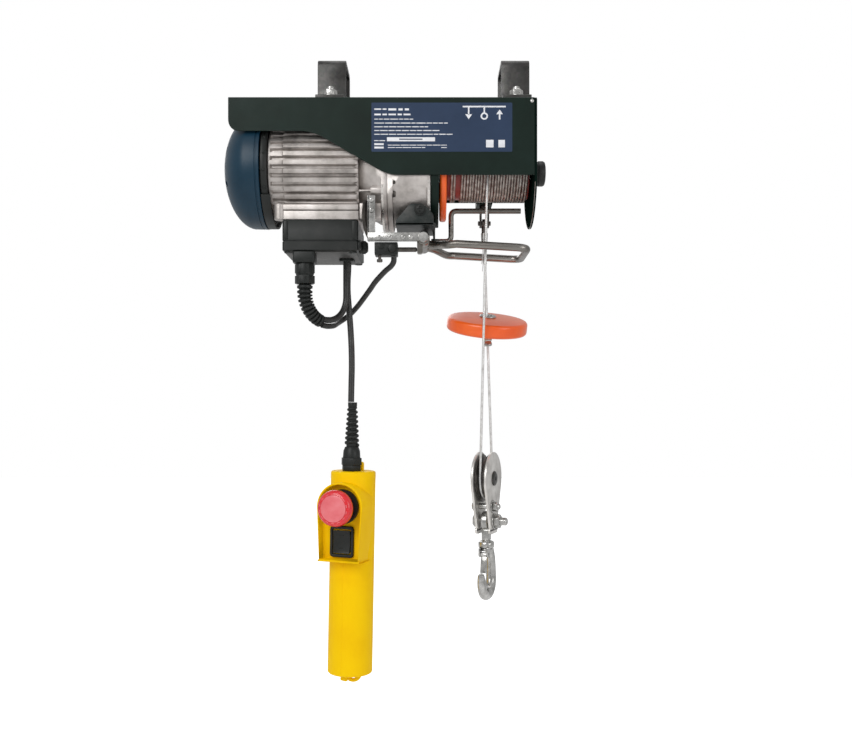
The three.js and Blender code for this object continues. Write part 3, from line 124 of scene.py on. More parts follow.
def makeFinish(name, recipe):
    material = bpy.data.materials.new(name)
    material.use_nodes = True
    nodes, links = material.node_tree.nodes, material.node_tree.links
    shader = nodes["Principled BSDF"]
    shader.inputs["Metallic"].default_value = recipe["metal"]
    shader.inputs["Coat Weight"].default_value = recipe.get("coat", 0)
    shader.inputs["Coat Roughness"].default_value = 0.15
    shader.inputs["Specular IOR Level"].default_value = recipe.get("shine", 0.5)
    shader.inputs["Subsurface Weight"].default_value = recipe.get("scatter", 0)
    shader.inputs["Subsurface Scale"].default_value = 0.002
    place = nodes.new("ShaderNodeTexCoord")
    stretch = nodes.new("ShaderNodeMapping")
    links.new(place.outputs["Object"], stretch.inputs["Vector"])
    if recipe.get("brushed") == "x":
        stretch.inputs["Scale"].default_value = (0.12, 1, 1)

    def noise(size, detail, vector=stretch):
        node = nodes.new("ShaderNodeTexNoise")
        node.inputs["Scale"].default_value = 1000 / size
        node.inputs["Detail"].default_value = detail
        node.inputs["Roughness"].default_value = 0.6
        links.new(vector.outputs[0], node.inputs["Vector"])
        return node

    patches = noise(recipe["patch"], 6)
    ramp = nodes.new("ShaderNodeValToRGB")
    low, middle, high = recipe["tones"]
    ramp.color_ramp.elements[0].position, ramp.color_ramp.elements[0].color = 0.3, (*low, 1)
    ramp.color_ramp.elements[1].position, ramp.color_ramp.elements[1].color = 0.72, (*high, 1)
    ramp.color_ramp.elements.new(0.5).color = (*middle, 1)
    links.new(patches.outputs["Fac"], ramp.inputs["Fac"])
    colour = ramp.outputs["Color"]
    if recipe.get("spangle"):  # the crystals in a zinc coat
        cells = nodes.new("ShaderNodeTexVoronoi")
        cells.inputs["Scale"].default_value = 260
        links.new(stretch.outputs[0], cells.inputs["Vector"])
        mix = nodes.new("ShaderNodeMix")
        mix.data_type, mix.blend_type = "RGBA", "OVERLAY"
        mix.inputs["Factor"].default_value = 0.14
        links.new(colour, mix.inputs["A"])
        links.new(cells.outputs["Color"], mix.inputs["B"])
        grey = nodes.new("ShaderNodeHueSaturation")
        grey.inputs["Saturation"].default_value = 0.25
        links.new(mix.outputs["Result"], grey.inputs["Color"])
        colour = grey.outputs["Color"]
    if recipe.get("grime"):  # dirt that has settled in patches
        spots = noise(recipe["patch"] * 1.7, 8)
        limit = nodes.new("ShaderNodeMapRange")
        limit.inputs["From Min"].default_value, limit.inputs["From Max"].default_value = 0.56, 0.78
        links.new(spots.outputs["Fac"], limit.inputs["Value"])
        mix = nodes.new("ShaderNodeMix")
        mix.data_type = "RGBA"
        mix.inputs["B"].default_value = (*recipe["grime"], 1)
        links.new(limit.outputs["Result"], mix.inputs["Factor"])
        links.new(colour, mix.inputs["A"])
        colour = mix.outputs["Result"]
    links.new(colour, shader.inputs["Base Color"])
    gloss = nodes.new("ShaderNodeMapRange")
    gloss.inputs["To Min"].default_value, gloss.inputs["To Max"].default_value = recipe["gloss"]
    fine = noise(recipe["patch"] * 0.35, 4)
    links.new(fine.outputs["Fac"], gloss.inputs["Value"])
    links.new(gloss.outputs["Result"], shader.inputs["Roughness"])
    grain = noise(recipe["relief"][0], 3)
    bump = nodes.new("ShaderNodeBump")
    bump.inputs["Strength"].default_value = recipe["relief"][1]
    bump.inputs["Distance"].default_value = 0.0004
    links.new(grain.outputs["Fac"], bump.inputs["Height"])
    links.new(bump.outputs["Normal"], shader.inputs["Normal"])
    finishes[name] = material


for name, recipe in recipes.items():
    makeFinish(name, recipe)
print("finishes made:", len(finishes))

# Shapes are (vertices, faces) pairs in millimetres


def join(*shapes):
    vertices, faces = [], []
    for v, f in shapes:
        start = len(vertices)
        vertices += v
        faces += [[i + start for i in face] for face in f]
    return vertices, faces


def moved(shape, x=0, y=0, z=0):
    return [(a + x, b + y, c + z) for a, b, c in shape[0]], shape[1]


def turned(shape, degrees, axis, about=(0, 0, 0)):
    matrix = Matrix.Translation(about) @ Matrix.Rotation(math.radians(degrees), 4, axis)
    matrix @= Matrix.Translation([-v for v in about])
    return [tuple(matrix @ Vector(v)) for v in shape[0]], shape[1]


def aimed(shape, place, direction, roll=0):
    # A shape built along +Z from the origin, now at place and along direction.
    matrix = Vector(direction).to_track_quat("Z", "Y").to_matrix().to_4x4()
    matrix = Matrix.Translation(place) @ matrix @ Matrix.Rotation(math.radians(roll), 4, "Z")
    return [tuple(matrix @ Vector(v)) for v in shape[0]], shape[1]


def box(x0, x1, y0, y1, z0, z1):
    v = [(x, y, z) for x in (x0, x1) for y in (y0, y1) for z in (z0, z1)]
    return v, [[0, 1, 3, 2], [4, 6, 7, 5], [0, 4, 5, 1], [2, 3, 7, 6], [0, 2, 6, 4], [1, 5, 7, 3]]


def stacked(rings, endsFirst=False):
    # A closed skin over rings of as many points each, from the first to the last.
    n = len(rings[0])
    vertices = [v for ring in rings for v in ring]
    ends = [list(range(n))[::-1], list(range(len(vertices) - n, len(vertices)))]
    skin = [[k * n + i, k * n + (i + 1) % n, (k + 1) * n + (i + 1) % n, (k + 1) * n + i]
            for k in range(len(rings) - 1) for i in range(n)]
    return vertices, ends + skin if endsFirst else skin + ends


def lathe(profile, sides=64, closed=False):
    # Turns [along, radius] points about Z. A point of no radius is one vertex; closed joins the last to the first.
    vertices, rings, faces = [], [], []
    for along, radius in profile:
        if radius < 1e-6:
            rings.append([len(vertices)])
            vertices.append((0, 0, along))
            continue
        rings.append(list(range(len(vertices), len(vertices) + sides)))
        for i in range(sides):
            angle = 2 * math.pi * i / sides
            vertices.append((radius * math.cos(angle), radius * math.sin(angle), along))
    pairs = list(zip(rings, rings[1:] + rings[:1]))
    for lower, upper in pairs if closed else pairs[:-1]:
        for i in range(sides):
            k = (i + 1) % sides
            if len(lower) == 1 and len(upper) > 1:
                faces.append([lower[0], upper[k], upper[i]])
            elif len(upper) == 1 and len(lower) > 1:
                faces.append([lower[i], lower[k], upper[0]])
            elif len(lower) > 1:
                faces.append([lower[i], lower[k], upper[k], upper[i]])
    if not closed:
        faces += [ring[::-1] if ring is rings[0] else ring for ring in (rings[0], rings[-1]) if len(ring) > 1]
    return vertices, faces


def latheX(profile, sides=96, closed=False, y=0, z=axisZ):
    vertices, faces = lathe(profile, sides, closed)
    return [(c, a + y, b + z) for a, b, c in vertices], faces


def rounded(corners, steps=6):
    # An outline of [x, y, corner radius] points, with each corner drawn as an arc.
    points = []
    for i, (x, y, *radius) in enumerate(corners):
        here = Vector((x, y))
        if not radius or radius[0] <= 0:
            points.append((x, y))
            continue
        before, after = Vector(corners[i - 1][:2]), Vector(corners[(i + 1) % len(corners)][:2])
        enter = here + (before - here).normalized() * radius[0]
        leave = here + (after - here).normalized() * radius[0]
        for k in range(steps + 1):
            t = k / steps
            p = enter * (1 - t) ** 2 + here * 2 * t * (1 - t) + leave * t * t
            points.append(tuple(p))
    return points


def prism(points, low, high, plane="xz"):
    # An outline extruded from low to high along the axis that is not in its plane.
    spot = {"xz": lambda a, b, c: (a, c, b), "yz": lambda a, b, c: (c, a, b), "xy": lambda a, b, c: (a, b, c)}[plane]
    n = len(points)
    vertices = [spot(a, b, c) for c in (low, high) for a, b in points]
    faces = [list(range(n))[::-1], list(range(n, 2 * n))]
    return vertices, faces + [[i, (i + 1) % n, n + (i + 1) % n, n + i] for i in range(n)]


def smoothPath(points, steps=8):
    # A smooth line through points.
    line = [Vector(p) for p in points]
    line = [line[0] * 2 - line[1], *line, line[-1] * 2 - line[-2]]
    out = []
    for i in range(1, len(line) - 2):
        p0, p1, p2, p3 = line[i - 1:i + 3]
        for k in range(steps):
            t = k / steps
            out.append(0.5 * ((2 * p1) + (p2 - p0) * t + (2 * p0 - 5 * p1 + 4 * p2 - p3) * t * t
                              + (3 * p1 - p0 - 3 * p2 + p3) * t ** 3))
    return [*out, line[-2]]


def bentPath(points, radius, steps=7):
    # A line through points with each corner rounded to a bend.
    line = [Vector(p) for p in points]
    out = [line[0]]
    for before, here, after in zip(line, line[1:], line[2:]):
        a, b = (before - here).normalized(), (after - here).normalized()
        corner = min(radius, (before - here).length * 0.49, (after - here).length * 0.49)
        for k in range(steps + 1):
            t = k / steps
            out.append((here + a * corner) * (1 - t) ** 2 + here * 2 * t * (1 - t) + (here + b * corner) * t * t)
    return [*out, line[-1]]


def tube(path, radius, sides=16, lobes=0, twist=0, section=None, caps=True):
    # Sweeps a round section along a path. lobes and twist give it strands; radius may be a list.
    path = [Vector(p) for p in path]
    vertices, faces = [], []
    ahead = (path[1] - path[0]).normalized()
    up = ahead.orthogonal().normalized()
    gone = 0
    for i, p in enumerate(path):
        along = (path[min(i + 1, len(path) - 1)] - path[max(i - 1, 0)]).normalized()
        up = (ahead.rotation_difference(along) @ up)
        up = (up - along * up.dot(along)).normalized()
        ahead = along
        side = along.cross(up)
        if i:
            gone += (p - path[i - 1]).length
        r = radius[i] if isinstance(radius, list) else radius
        for k in range(sides):
            angle = 2 * math.pi * k / sides
            if section:
                a, b = section[k]
                vertices.append(tuple(p + side * a + up * b))
                continue
            spin = angle + (gone * twist if twist else 0)
            reach = r * (1 - (0.09 - 0.09 * math.cos(angle * lobes)) if lobes else 1)
            vertices.append(tuple(p + side * math.cos(spin) * reach + up * math.sin(spin) * reach))
    for i in range(len(path) - 1):
        for k in range(sides):
            n = (k + 1) % sides
            faces.append([i * sides + k, i * sides + n, (i + 1) * sides + n, (i + 1) * sides + k])
    if caps:
        faces += [list(range(sides))[::-1], list(range((len(path) - 1) * sides, len(path) * sides))]
    return vertices, faces


def ribbed(path, ribs, thick, thin, ending, start=0, stop=1):
    # The tapering radius of a spiral strain relief, rib by rib.
    radii = []
    last = len(path) - 1
    for i in range(last + 1):
        t = i / last
        wide = thick + (ending - thick) * t
        wave = 0.5 - 0.5 * math.cos(2 * math.pi * ribs * t)
        radii.append(wide - thin * (1 - min(1, 1.7 * wave)) if start < t < stop else wide)
    return radii


def hexHead(radius, height, chamfer=0.5):
    points = [(radius * math.cos(math.radians(a)), radius * math.sin(math.radians(a))) for a in range(0, 360, 60)]
    return prism(points, 0, height, "xy")


def washer(inner, outer, thick, sides=40):
    return lathe([(0, inner), (0, outer), (thick, outer), (thick, inner)], sides, True)


def nutOnBolt(size, stud):
    # A washer, a hexagon nut and the rounded end of the bolt, from the origin along +Z.
    return join(washer(size * 0.62, size * 1.3, size * 0.2), moved(hexHead(size, size * 0.85), z=size * 0.22),
                lathe([(size, size * 0.55), (size * 1.07 + stud - 0.6, size * 0.55), (size * 1.07 + stud, size * 0.4),
                       (size * 1.07 + stud, 0)], 24))


def boltOn(size):
    return join(washer(size * 0.62, size * 1.25, size * 0.18),
                moved(hexHead(size, size * 0.62), z=size * 0.2),
                lathe([(size * 0.7, size * 0.8), (size * 0.92, size * 0.74), (size * 0.92, 0)], 32))


def panHead(radius, height):
    # A pan head screw with a cross slot.
    cross, r = radius * 0.16, radius * 0.62
    arms = [box(-r, r, -cross, cross, height * 0.62, height + 1), box(-cross, cross, -r, r, height * 0.6, height + 1)]
    head = lathe([(0, radius * 0.6), (0, radius), (height * 0.45, radius), (height * 0.85, radius * 0.78),
                  (height, radius * 0.4), (height, 0)], 36)
    return carved(head, *arms)


def meshOf(shape):
    mesh = bpy.data.meshes.new("shape")
    mesh.from_pydata([(x * mm, y * mm, z * mm) for x, y, z in shape[0]], [], shape[1])
    work = bmesh.new()
    work.from_mesh(mesh)
    bmesh.ops.recalc_face_normals(work, faces=work.faces)
    work.to_mesh(mesh)
    work.free()
    return mesh


def carved(shape, *cutters, keep="DIFFERENCE"):
    # The shape with the cutters taken away, or joined to it.
    base = bpy.data.objects.new("base", meshOf(shape))
    scene.collection.objects.link(base)
    tools = []
    for cutter in cutters:
        tool = bpy.data.objects.new("tool", meshOf(cutter))
        scene.collection.objects.link(tool)
        tools.append(tool)
        step = base.modifiers.new("cut", "BOOLEAN")
        step.operation, step.object, step.solver = keep, tool, "EXACT"
    result = bpy.data.meshes.new_from_object(base.evaluated_get(bpy.context.evaluated_depsgraph_get()))
    made = [tuple(v.co / mm) for v in result.vertices], [list(p.vertices) for p in result.polygons]
    for item in [base, *tools]:
        bpy.data.objects.remove(item)
    return made


def piece(name, shape, finish, body, nodes=(), bevel=0, steps=2, crease=34):
    # Makes one piece: rounds its sharp edges, shades it, gives it its finish and lets it ride on its body.
    mesh = meshOf(shape)
    mesh.name = name
    work = bmesh.new()
    work.from_mesh(mesh)
    bmesh.ops.remove_doubles(work, verts=work.verts, dist=1e-6)
    if bevel:
        sharp = [e for e in work.edges if e.is_manifold and e.calc_face_angle(0) > math.radians(crease)]
        bmesh.ops.bevel(work, geom=sharp, offset=bevel * mm, offset_type="OFFSET", segments=steps, profile=0.5,
                        affect="EDGES", clamp_overlap=True)
    for face in work.faces:
        face.smooth = True
    for edge in work.edges:
        edge.smooth = not edge.is_manifold or edge.calc_face_angle(0) < math.radians(crease + 4)
    work.to_mesh(mesh)
    work.free()
    thing = bpy.data.objects.new(name, mesh)
    scene.collection.objects.link(thing)
    mesh.materials.append(finishes[finish])
    if body:
        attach(thing, body)
    if nodes:
        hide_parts(*nodes)
    return thing


# Floor, light and surroundings
studio = {"floorDrop": -1100, "floorHalf": 9000, "world": 0.5, "key": 26, "fill": 9, "top": 8, "rim": 6}


def makeStage():
    size = studio["floorHalf"]
    floor = bpy.data.objects.new("floor", meshOf(box(-size, size, -size, size, studio["floorDrop"] - 10,
                                                     studio["floorDrop"])))
    scene.collection.objects.link(floor)
    pale = bpy.data.materials.new("paleFloor")
    pale.use_nodes = True
    shader = pale.node_tree.nodes["Principled BSDF"]
    shader.inputs["Base Color"].default_value = (0.8, 0.8, 0.8, 1)
    shader.inputs["Roughness"].default_value = 0.85
    shader.inputs["Emission Color"].default_value = (1, 1, 1, 1)
    glow, sight = pale.node_tree.nodes.new("ShaderNodeMapRange"), pale.node_tree.nodes.new("ShaderNodeLightPath")
    glow.inputs["To Min"].default_value, glow.inputs["To Max"].default_value = 0.12, 0.95
    pale.node_tree.links.new(sight.outputs["Is Camera Ray"], glow.inputs["Value"])
    pale.node_tree.links.new(glow.outputs["Result"], shader.inputs["Emission Strength"])
    floor.data.materials.append(pale)
    world = bpy.data.worlds.new("studio")
    world.use_nodes = True
    nodes, links = world.node_tree.nodes, world.node_tree.links
    output = nodes["World Output"]
    around, seen, pick, ray = (nodes["Background"], nodes.new("ShaderNodeBackground"),
                               nodes.new("ShaderNodeMixShader"), nodes.new("ShaderNodeLightPath"))
    around.inputs["Color"].default_value = (1, 1, 1, 1)
    around.inputs["Strength"].default_value = studio["world"]
    seen.inputs["Color"].default_value = (1, 1, 1, 1)
    seen.inputs["Strength"].default_value = 1.0
    links.new(ray.outputs["Is Camera Ray"], pick.inputs["Fac"])
    links.new(around.outputs[0], pick.inputs[1])
    links.new(seen.outputs[0], pick.inputs[2])
    links.new(pick.outputs[0], output.inputs["Surface"])
    scene.world = world


def softLight(name, place, aim, size, power):
    data = bpy.data.lights.new(name, "AREA")
    data.shape, data.size, data.energy = "DISK", size, power
    light = bpy.data.objects.new(name, data)
    light.location = [v * mm for v in place]
    light.rotation_euler = (Vector(aim) - Vector(place)).to_track_quat("-Z", "Y").to_euler()
    scene.collection.objects.link(light)


makeStage()
softLight("keyLight", (-1100, -1900, 900), (-20, 0, -200), 1.5, studio["key"])
softLight("fillLight", (1700, -1500, 100), (0, 0, -250), 1.2, studio["fill"])
softLight("topLight", (100, 200, 1700), (0, 0, -100), 1.4, studio["top"])
softLight("rearLight", (-500, 1900, 500), (0, 0, -200), 1.2, studio["rim"])
print("stage and lights set")

# Cables. Their points are those of the frame's own cables, in metres.
cables = {
    "pendant_cable": {"radius": 0.0035, "farEnd": "object", "lay": "hanging", "points": [
        (-0.0863, 0.0176, -0.1649), (-0.0866, 0.0176, -0.176), (-0.0872, 0.0174, -0.188), (-0.0872, 0.0170, -0.200),
        (-0.0863, 0.0164, -0.213), (-0.0852, 0.0156, -0.226), (-0.0841, 0.0146, -0.239), (-0.0832, 0.0135, -0.252),
        (-0.0825, 0.0124, -0.265), (-0.0821, 0.0113, -0.278), (-0.0820, 0.0103, -0.291), (-0.0822, 0.0094, -0.303),
        (-0.0824, 0.0087, -0.315), (-0.0826, 0.0083, -0.3274)]},
    "limit_cable": {"radius": 0.0031, "farEnd": "object", "lay": "loose", "points": [
        (-0.0325, -0.032, -0.1692), (-0.0328, -0.0316, -0.174), (-0.036, -0.0275, -0.1783), (-0.0419, -0.020, -0.182),
        (-0.0485, -0.0125, -0.1874), (-0.0547, -0.005, -0.193), (-0.0608, 0.004, -0.200), (-0.0665, 0.012, -0.2063),
        (-0.0714, 0.018, -0.2118), (-0.077, 0.024, -0.2178), (-0.0844, 0.0284, -0.225), (-0.0916, 0.0274, -0.231),
        (-0.097, 0.0204, -0.2356), (-0.100, 0.0105, -0.239), (-0.1014, 0.0004, -0.2413), (-0.1045, -0.007, -0.2425),
        (-0.1086, -0.0113, -0.2428), (-0.1132, -0.016, -0.242)]},
    "loop_cable": {"radius": 0.0035, "farEnd": "object", "lay": "loose", "points": [
        (-0.1127, -0.0153, -0.2351), (-0.1102, -0.0128, -0.2357), (-0.1061, -0.0086, -0.2358),
        (-0.1023, -0.0047, -0.2349),
        (-0.0986, -0.0009, -0.2329), (-0.0951, 0.0027, -0.2296), (-0.0921, 0.0057, -0.2251),
        (-0.0899, 0.0080, -0.2193),
        (-0.0886, 0.0093, -0.2130), (-0.0883, 0.0096, -0.206), (-0.0883, 0.0096, -0.198), (-0.0883, 0.0096, -0.190),
        (-0.0883, 0.0096, -0.182), (-0.0883, 0.0096, -0.173), (-0.0883, 0.0096, -0.1649)]},
}
for name, cable in cables.items():
    route = smoothPath([[v / mm for v in p] for p in cable["points"]], 6)
    thing = piece(name + "_sheath", tube(route, cable["radius"] / mm, 20), "cableSheath", "frame", [name])

# Frame: one folded sheet, two cross plates and the pole clamps
sheet = {"left": -209, "right": 119, "half": 57.5, "thick": 1.8, "fold": 2.6, "top": -1, "front": -84.5, "rear": -91,
         "nose": -37.5, "slope": (-119, -38), "corner": 14, "seat": (75, 20)}


def foldedFrame():
    half, t, r, top = sheet["half"], sheet["thick"], sheet["fold"], sheet["top"]
    low = sheet["rear"] - 0.01

    def side(y, z, bend):
        return rounded([(-y, low), (-y, z, bend), (y, z, bend), (y, low)], 7)

    section = side(half, top, r) + side(half - t, top - t, r - t)[::-1]
    shell = prism(section, sheet["left"], sheet["right"], "yz")
    cutters = []
    for drop, y0, y1 in [(sheet["front"], -half - 1, -half + t + 6), (sheet["rear"], half - t - 6, half + 1)]:
        edge = rounded([(sheet["left"] - 1, -20), (sheet["left"], -20), (sheet["left"], sheet["nose"], 13),
                        (sheet["slope"][0], sheet["nose"], sheet["corner"]),
                        (sheet["slope"][1], drop, sheet["corner"]),
                        (sheet["right"] + 1, drop), (sheet["right"] + 1, low - 9), (sheet["left"] - 1, low - 9)], 8)
        cutters.append(prism(edge, y0, y1))
    shell = carved(shell, *cutters)
    a, b = sheet["seat"]
    rim = rounded([(-a, -b, 6), (a, -b, 6), (a, b, 6), (-a, b, 6)], 5)
    inner = [(x * (a - 1.6) / a, y * (b - 1.6) / b) for x, y in rim]
    seat = [[(x, y, top - 1) for x, y in rim], [(x, y, top) for x, y in rim], [(x, y, 0) for x, y in inner]]
    return carved(shell, stacked(seat, True), keep="UNION")


piece("housing_shell", foldedFrame(), "blackCoat", "frame", ["housing"], crease=25)


def crossOutline(radius, halfWidth, top, steps=56):
    start = math.asin(halfWidth / radius)
    points = [(-halfWidth, top)]
    for i in range(steps + 1):
        angle = -start + 2 * start * i / steps
        points.append((radius * math.sin(angle), axisZ - radius * math.cos(angle)))
    return [*points, (halfWidth, top)]


crossPlates = {"inner": {"x": 7.5, "thick": 2.5, "flange": 9, "radius": 60, "half": 55.4},
               "outer": {"x": 119.3, "thick": 2.5, "radius": 61.5, "half": 57.5}}


def innerPan():
    p = crossPlates["inner"]
    top = sheet["top"] - sheet["thick"] - 0.3
    rims = [crossOutline(p["radius"] - s, p["half"] - s, top - s)
            for s in (2.2, 0.6, 0, 0, p["thick"], p["thick"], 4.7)]
    places = [p["x"], p["x"] + 0.6, p["x"] + 2.2, p["x"] + p["flange"], p["x"] + p["flange"], p["x"] + 4.7,
              p["x"] + p["thick"]]
    return stacked([[(x, y, z) for y, z in rim] for x, rim in zip(places, rims)], True)


piece("inner_cross_plate", innerPan(), "blackCoat", "frame", ["inner_plate"], crease=30)


def outerPlate():
    p = crossPlates["outer"]
    top, half, chamfer = sheet["top"], p["half"], 2.5
    arc = crossOutline(p["radius"], half, top)[1:-1]
    line = [(-half + chamfer, top), (-half, top - chamfer), *arc, (half, top - chamfer), (half - chamfer, top)]
    return prism(line, p["x"], p["x"] + p["thick"], "yz")


piece("end_cross_plate", outerPlate(), "dullCoat", "frame", ["end_plate"], bevel=0.7, steps=3)
# A lighter steel line along the end plate's rounded edge. It is partly chipped paint that bares the steel and partly
# a painted highlight along that edge.
rimChipsAndHighlight = {"inset": 0.4, "proud": 0.05, "radius": 0.42, "top": -20}
outer = crossPlates["outer"]
rim = [(outer["x"] + rimChipsAndHighlight["inset"], y, z)
       for y, z in crossOutline(outer["radius"] + rimChipsAndHighlight["proud"], outer["half"], rimChipsAndHighlight["top"], 90)[1:-1]]
piece("end_plate_chipped_and_highlight_rim", tube(rim, rimChipsAndHighlight["radius"], 8), "rodSteel", "frame")

# Cap over the end of the axle
piece("axle_end_cap", latheX([(122.1, 10.6), (122.1, 13.2), (122.9, 14), (127.5, 14), (128, 13.4), (128.6, 13.4),
                                   (129.1, 14), (134.2, 14), (136.1, 12.6), (136.7, 10.4), (136.7, 0)], 64),
      "blackMoulding", "frame", ["axle_cap"])

clamps = {"x": 101, "wide": 31, "bar": 4, "inner": 24.5, "top": 46, "low": -0.7, "foot": 52, "bend": 9, "boltY": 40,
          "bolt": 7.4}


def poleClamp(x):
    c = clamps
    inner, outer, rise = c["inner"], c["inner"] + c["bar"], c["low"] + c["bar"]
    top = c["top"] + c["bar"]
    strap = rounded([(-c["foot"], c["low"]), (-inner - 0.01, c["low"], 1), (-inner, c["top"], c["bend"] - 4),
                     (inner, c["top"], c["bend"] - 4), (inner + 0.01, c["low"], 1), (c["foot"], c["low"]),
                     (c["foot"], rise), (outer, rise, 3), (outer, top, c["bend"]), (-outer, top, c["bend"]),
                     (-outer, rise, 3), (-c["foot"], rise)], 7)
    return prism(strap, x - c["wide"] / 2, x + c["wide"] / 2, "yz")


for side, name in [(-1, "left"), (1, "right")]:
    x = side * clamps["x"]
    piece("pole_strap_" + name, poleClamp(x), "galvanised", "frame", ["pole_clamp_" + name],
          bevel=0.6, steps=2, crease=50)
    for y, end in [(-clamps["boltY"], "front"), (clamps["boltY"], "rear")]:
        nut = moved(nutOnBolt(clamps["bolt"], 4), x, y, clamps["low"] + clamps["bar"])
        under = turned(lathe([(0, 0), (0, 8.2), (1.2, 8.2), (3.4, 6.4), (4.3, 3.4), (4.5, 0)], 32), 180, "X")
        piece(f"clamp_bolt_{name}_{end}", join(nut, moved(under, x, y, sheet["top"] - sheet["thick"])), "brightZinc",
              "frame", bevel=0.35, crease=40)
print("frame and clamps made")

# Motor: fan cover, rear shield, stator, bell and gearbox, all about the drum's axis
coverShape = {"left": -222.5, "right": -176, "radius": 62, "wall": 2, "dome": 34, "slots": 6}


def fanCover():
    c = coverShape

    def arc(shrink, steps=16):
        line = []
        for i in range(steps + 1):
            angle = math.radians(90 - 79 * i / steps)
            line.append((c["left"] + c["dome"] - (c["dome"] - shrink) * math.cos(angle),
                         (c["radius"] - shrink) * math.sin(angle)))
        return line

    skin, inner = arc(0), arc(c["wall"])
    rings = [(c["right"], c["radius"] - 0.7), (c["right"] - 0.4, c["radius"]), (-179.2, c["radius"]), (-179.6, 61.3),
             (-180.6, 61.3), (-181, c["radius"] - 0.05), *skin[1:], (skin[-1][0] + 0.6, 11),
             (inner[-1][0], 11.6), *inner[::-1], (c["right"], c["radius"] - c["wall"])]
    shell = latheX(rings, 112, True)
    cuts = []
    for i in range(c["slots"]):
        slot = prism(rounded([(-2.6, 19, 2.5), (2.6, 19, 2.5), (2.6, 41, 2.5), (-2.6, 41, 2.5)], 4), -224, -204, "yz")
        cuts.append(moved(turned(slot, 360 * i / c["slots"], "X"), z=axisZ))
    return carved(shell, *cuts)


piece("fan_cover_dome", fanCover(), "bluePaint", "frame", ["fan_cover"], crease=38)
for i, degrees in enumerate((196, 344, 90)):
    a = math.radians(degrees - 60)
    place = (-177.4, 62 * math.cos(a) * 0.985, axisZ + 62 * math.sin(a) * 0.985)
    piece(f"cover_screw_{i + 1}", aimed(panHead(2.6, 1.1), place, (0, math.cos(a), math.sin(a)), 20 * i),
          "brightZinc", "frame")


def rearShield():
    ring = latheX([(-175.7, 9.2), (-175.7, 57.6), (-174.6, 59), (-169.4, 59), (-168.1, 57.8), (-168.1, 54.6),
                   (-170.6, 54.0), (-170.6, 18.4), (-172.8, 9.2)], 96, True)
    lugs = []
    for i in range(20):
        a = 2 * math.pi * (i + 0.5) / 20
        lug = lathe([(0, 1.6), (1.9, 1.6), (2.6, 0.9), (2.6, 0)], 12)
        lugs.append(aimed(lug, (-171.2, 57.9 * math.cos(a), axisZ + 57.9 * math.sin(a)),
                          (0, math.cos(a), math.sin(a))))
    # The skirt is a black lip under the lower half of the shield. It is put where the shadow under the motor falls,
    # so it is painted shadow.
    arc = [(math.cos(math.radians(d)), math.sin(math.radians(d))) for d in range(-146, -33, 4)]
    rim = [(59.4 * y, 59.4 * z + axisZ) for y, z in arc] + [(61.7 * y, 61.7 * z + axisZ) for y, z in arc[::-1]]
    paintedShadowSkirt = prism(rim, -175.2, -165.4, "yz")
    return join(ring, paintedShadowSkirt, *lugs)


piece("motor_rear_shield", rearShield(), "blackMoulding", "frame", ["rear_shield"], bevel=0.3,
      crease=48)

stator = {"left": -167.8, "right": -70.3, "fins": 36, "bodyR": 49.4, "step": -151.5}


def finnedBarrel():
    s = stator
    turn = 2 * math.pi / s["fins"]

    def section(finR, shrink=0.0):
        line = []
        for i in range(s["fins"]):
            middle = i * turn
            for a, r in [(-0.0665, s["bodyR"]), (-0.0605, s["bodyR"] + 1.1), (-0.0512, finR - 0.9),
                         (-0.042, finR - 0.15),
                         (0, finR), (0.042, finR - 0.15), (0.0512, finR - 0.9), (0.0605, s["bodyR"] + 1.1),
                         (0.0665, s["bodyR"])]:
                r = r - shrink if r > s["bodyR"] + 1.2 else r
                line.append((r * math.cos(middle + a), r * math.sin(middle + a)))
        return line

    stops = [(s["left"], 53.0, 0.8), (s["left"] + 0.8, 53.0, 0), (s["step"] - 0.7, 53.0, 0),
             (s["step"] + 0.5, 54.9, 0),
             (s["right"] - 4.5, 55, 0), (s["right"] - 1.4, 54.2, 0), (s["right"], 53.2, 0.4)]
    return stacked([[(x, y, z + axisZ) for y, z in section(r, shrink)] for x, r, shrink in stops])


piece("motor_stator_fins", finnedBarrel(), "castAluminium", "frame", ["stator_housing"], crease=40)
# solid collars close the grooves at both ends
piece("stator_left_collar", latheX([(-167.9, 40), (-167.9, 52.1), (-167.2, 52.8), (-165.6, 52.8), (-163.9, 50.2),
                                    (-163.9, 40)],
                                   96, True), "castAluminium", "frame")
wedges = []
for i in range(stator["fins"]):
    wedge = [(-70.3, -2.2, 54.3), (-70.3, 2.2, 54.3), (-75.5, 0, 50.5), (-70.3, -2.4, 48.8), (-70.3, 2.4, 48.8),
             (-76.5, 0, 48.8)]
    shape = (wedge, [[0, 1, 2], [3, 5, 4], [0, 3, 4, 1], [1, 4, 5, 2], [2, 5, 3, 0]])
    wedges.append(moved(turned(shape, 360 * (i + 0.5) / stator["fins"] - 90, "X"), z=axisZ))
piece("stator_groove_ends", join(*wedges), "castAluminium", "frame")


def statorPad():
    upper = prism(rounded([(-45, -119.4, 1), (-45, -112.6, 2.4), (-30, -111.9), (30, -111.9), (45, -112.6, 2.4),
                           (45, -119.4, 1)], 4), -152.4, -70.6, "yz")
    lower = prism(rounded([(-44, -129.8, 0.8), (-44, -120.0, 1), (44, -120.0, 1), (44, -129.8, 0.8)], 4),
                  -153.3, -70.4, "yz")
    web = prism([(-30, -112), (-30, -104), (30, -104), (30, -112)], -150, -70.6, "yz")
    return join(upper, lower, web)


piece("stator_pad", statorPad(), "castAluminium", "frame", bevel=0.8, steps=3)
boss = lathe([(0, 0), (0, 5.2), (0.6, 5.8), (16.4, 5.8), (17, 5.2), (17, 0)], 32)
bosses = [moved(boss, -156.3, y, -130) for y in (-40.6, 40.6)]
piece("stator_pad_bosses", join(*bosses), "castAluminium", "frame")

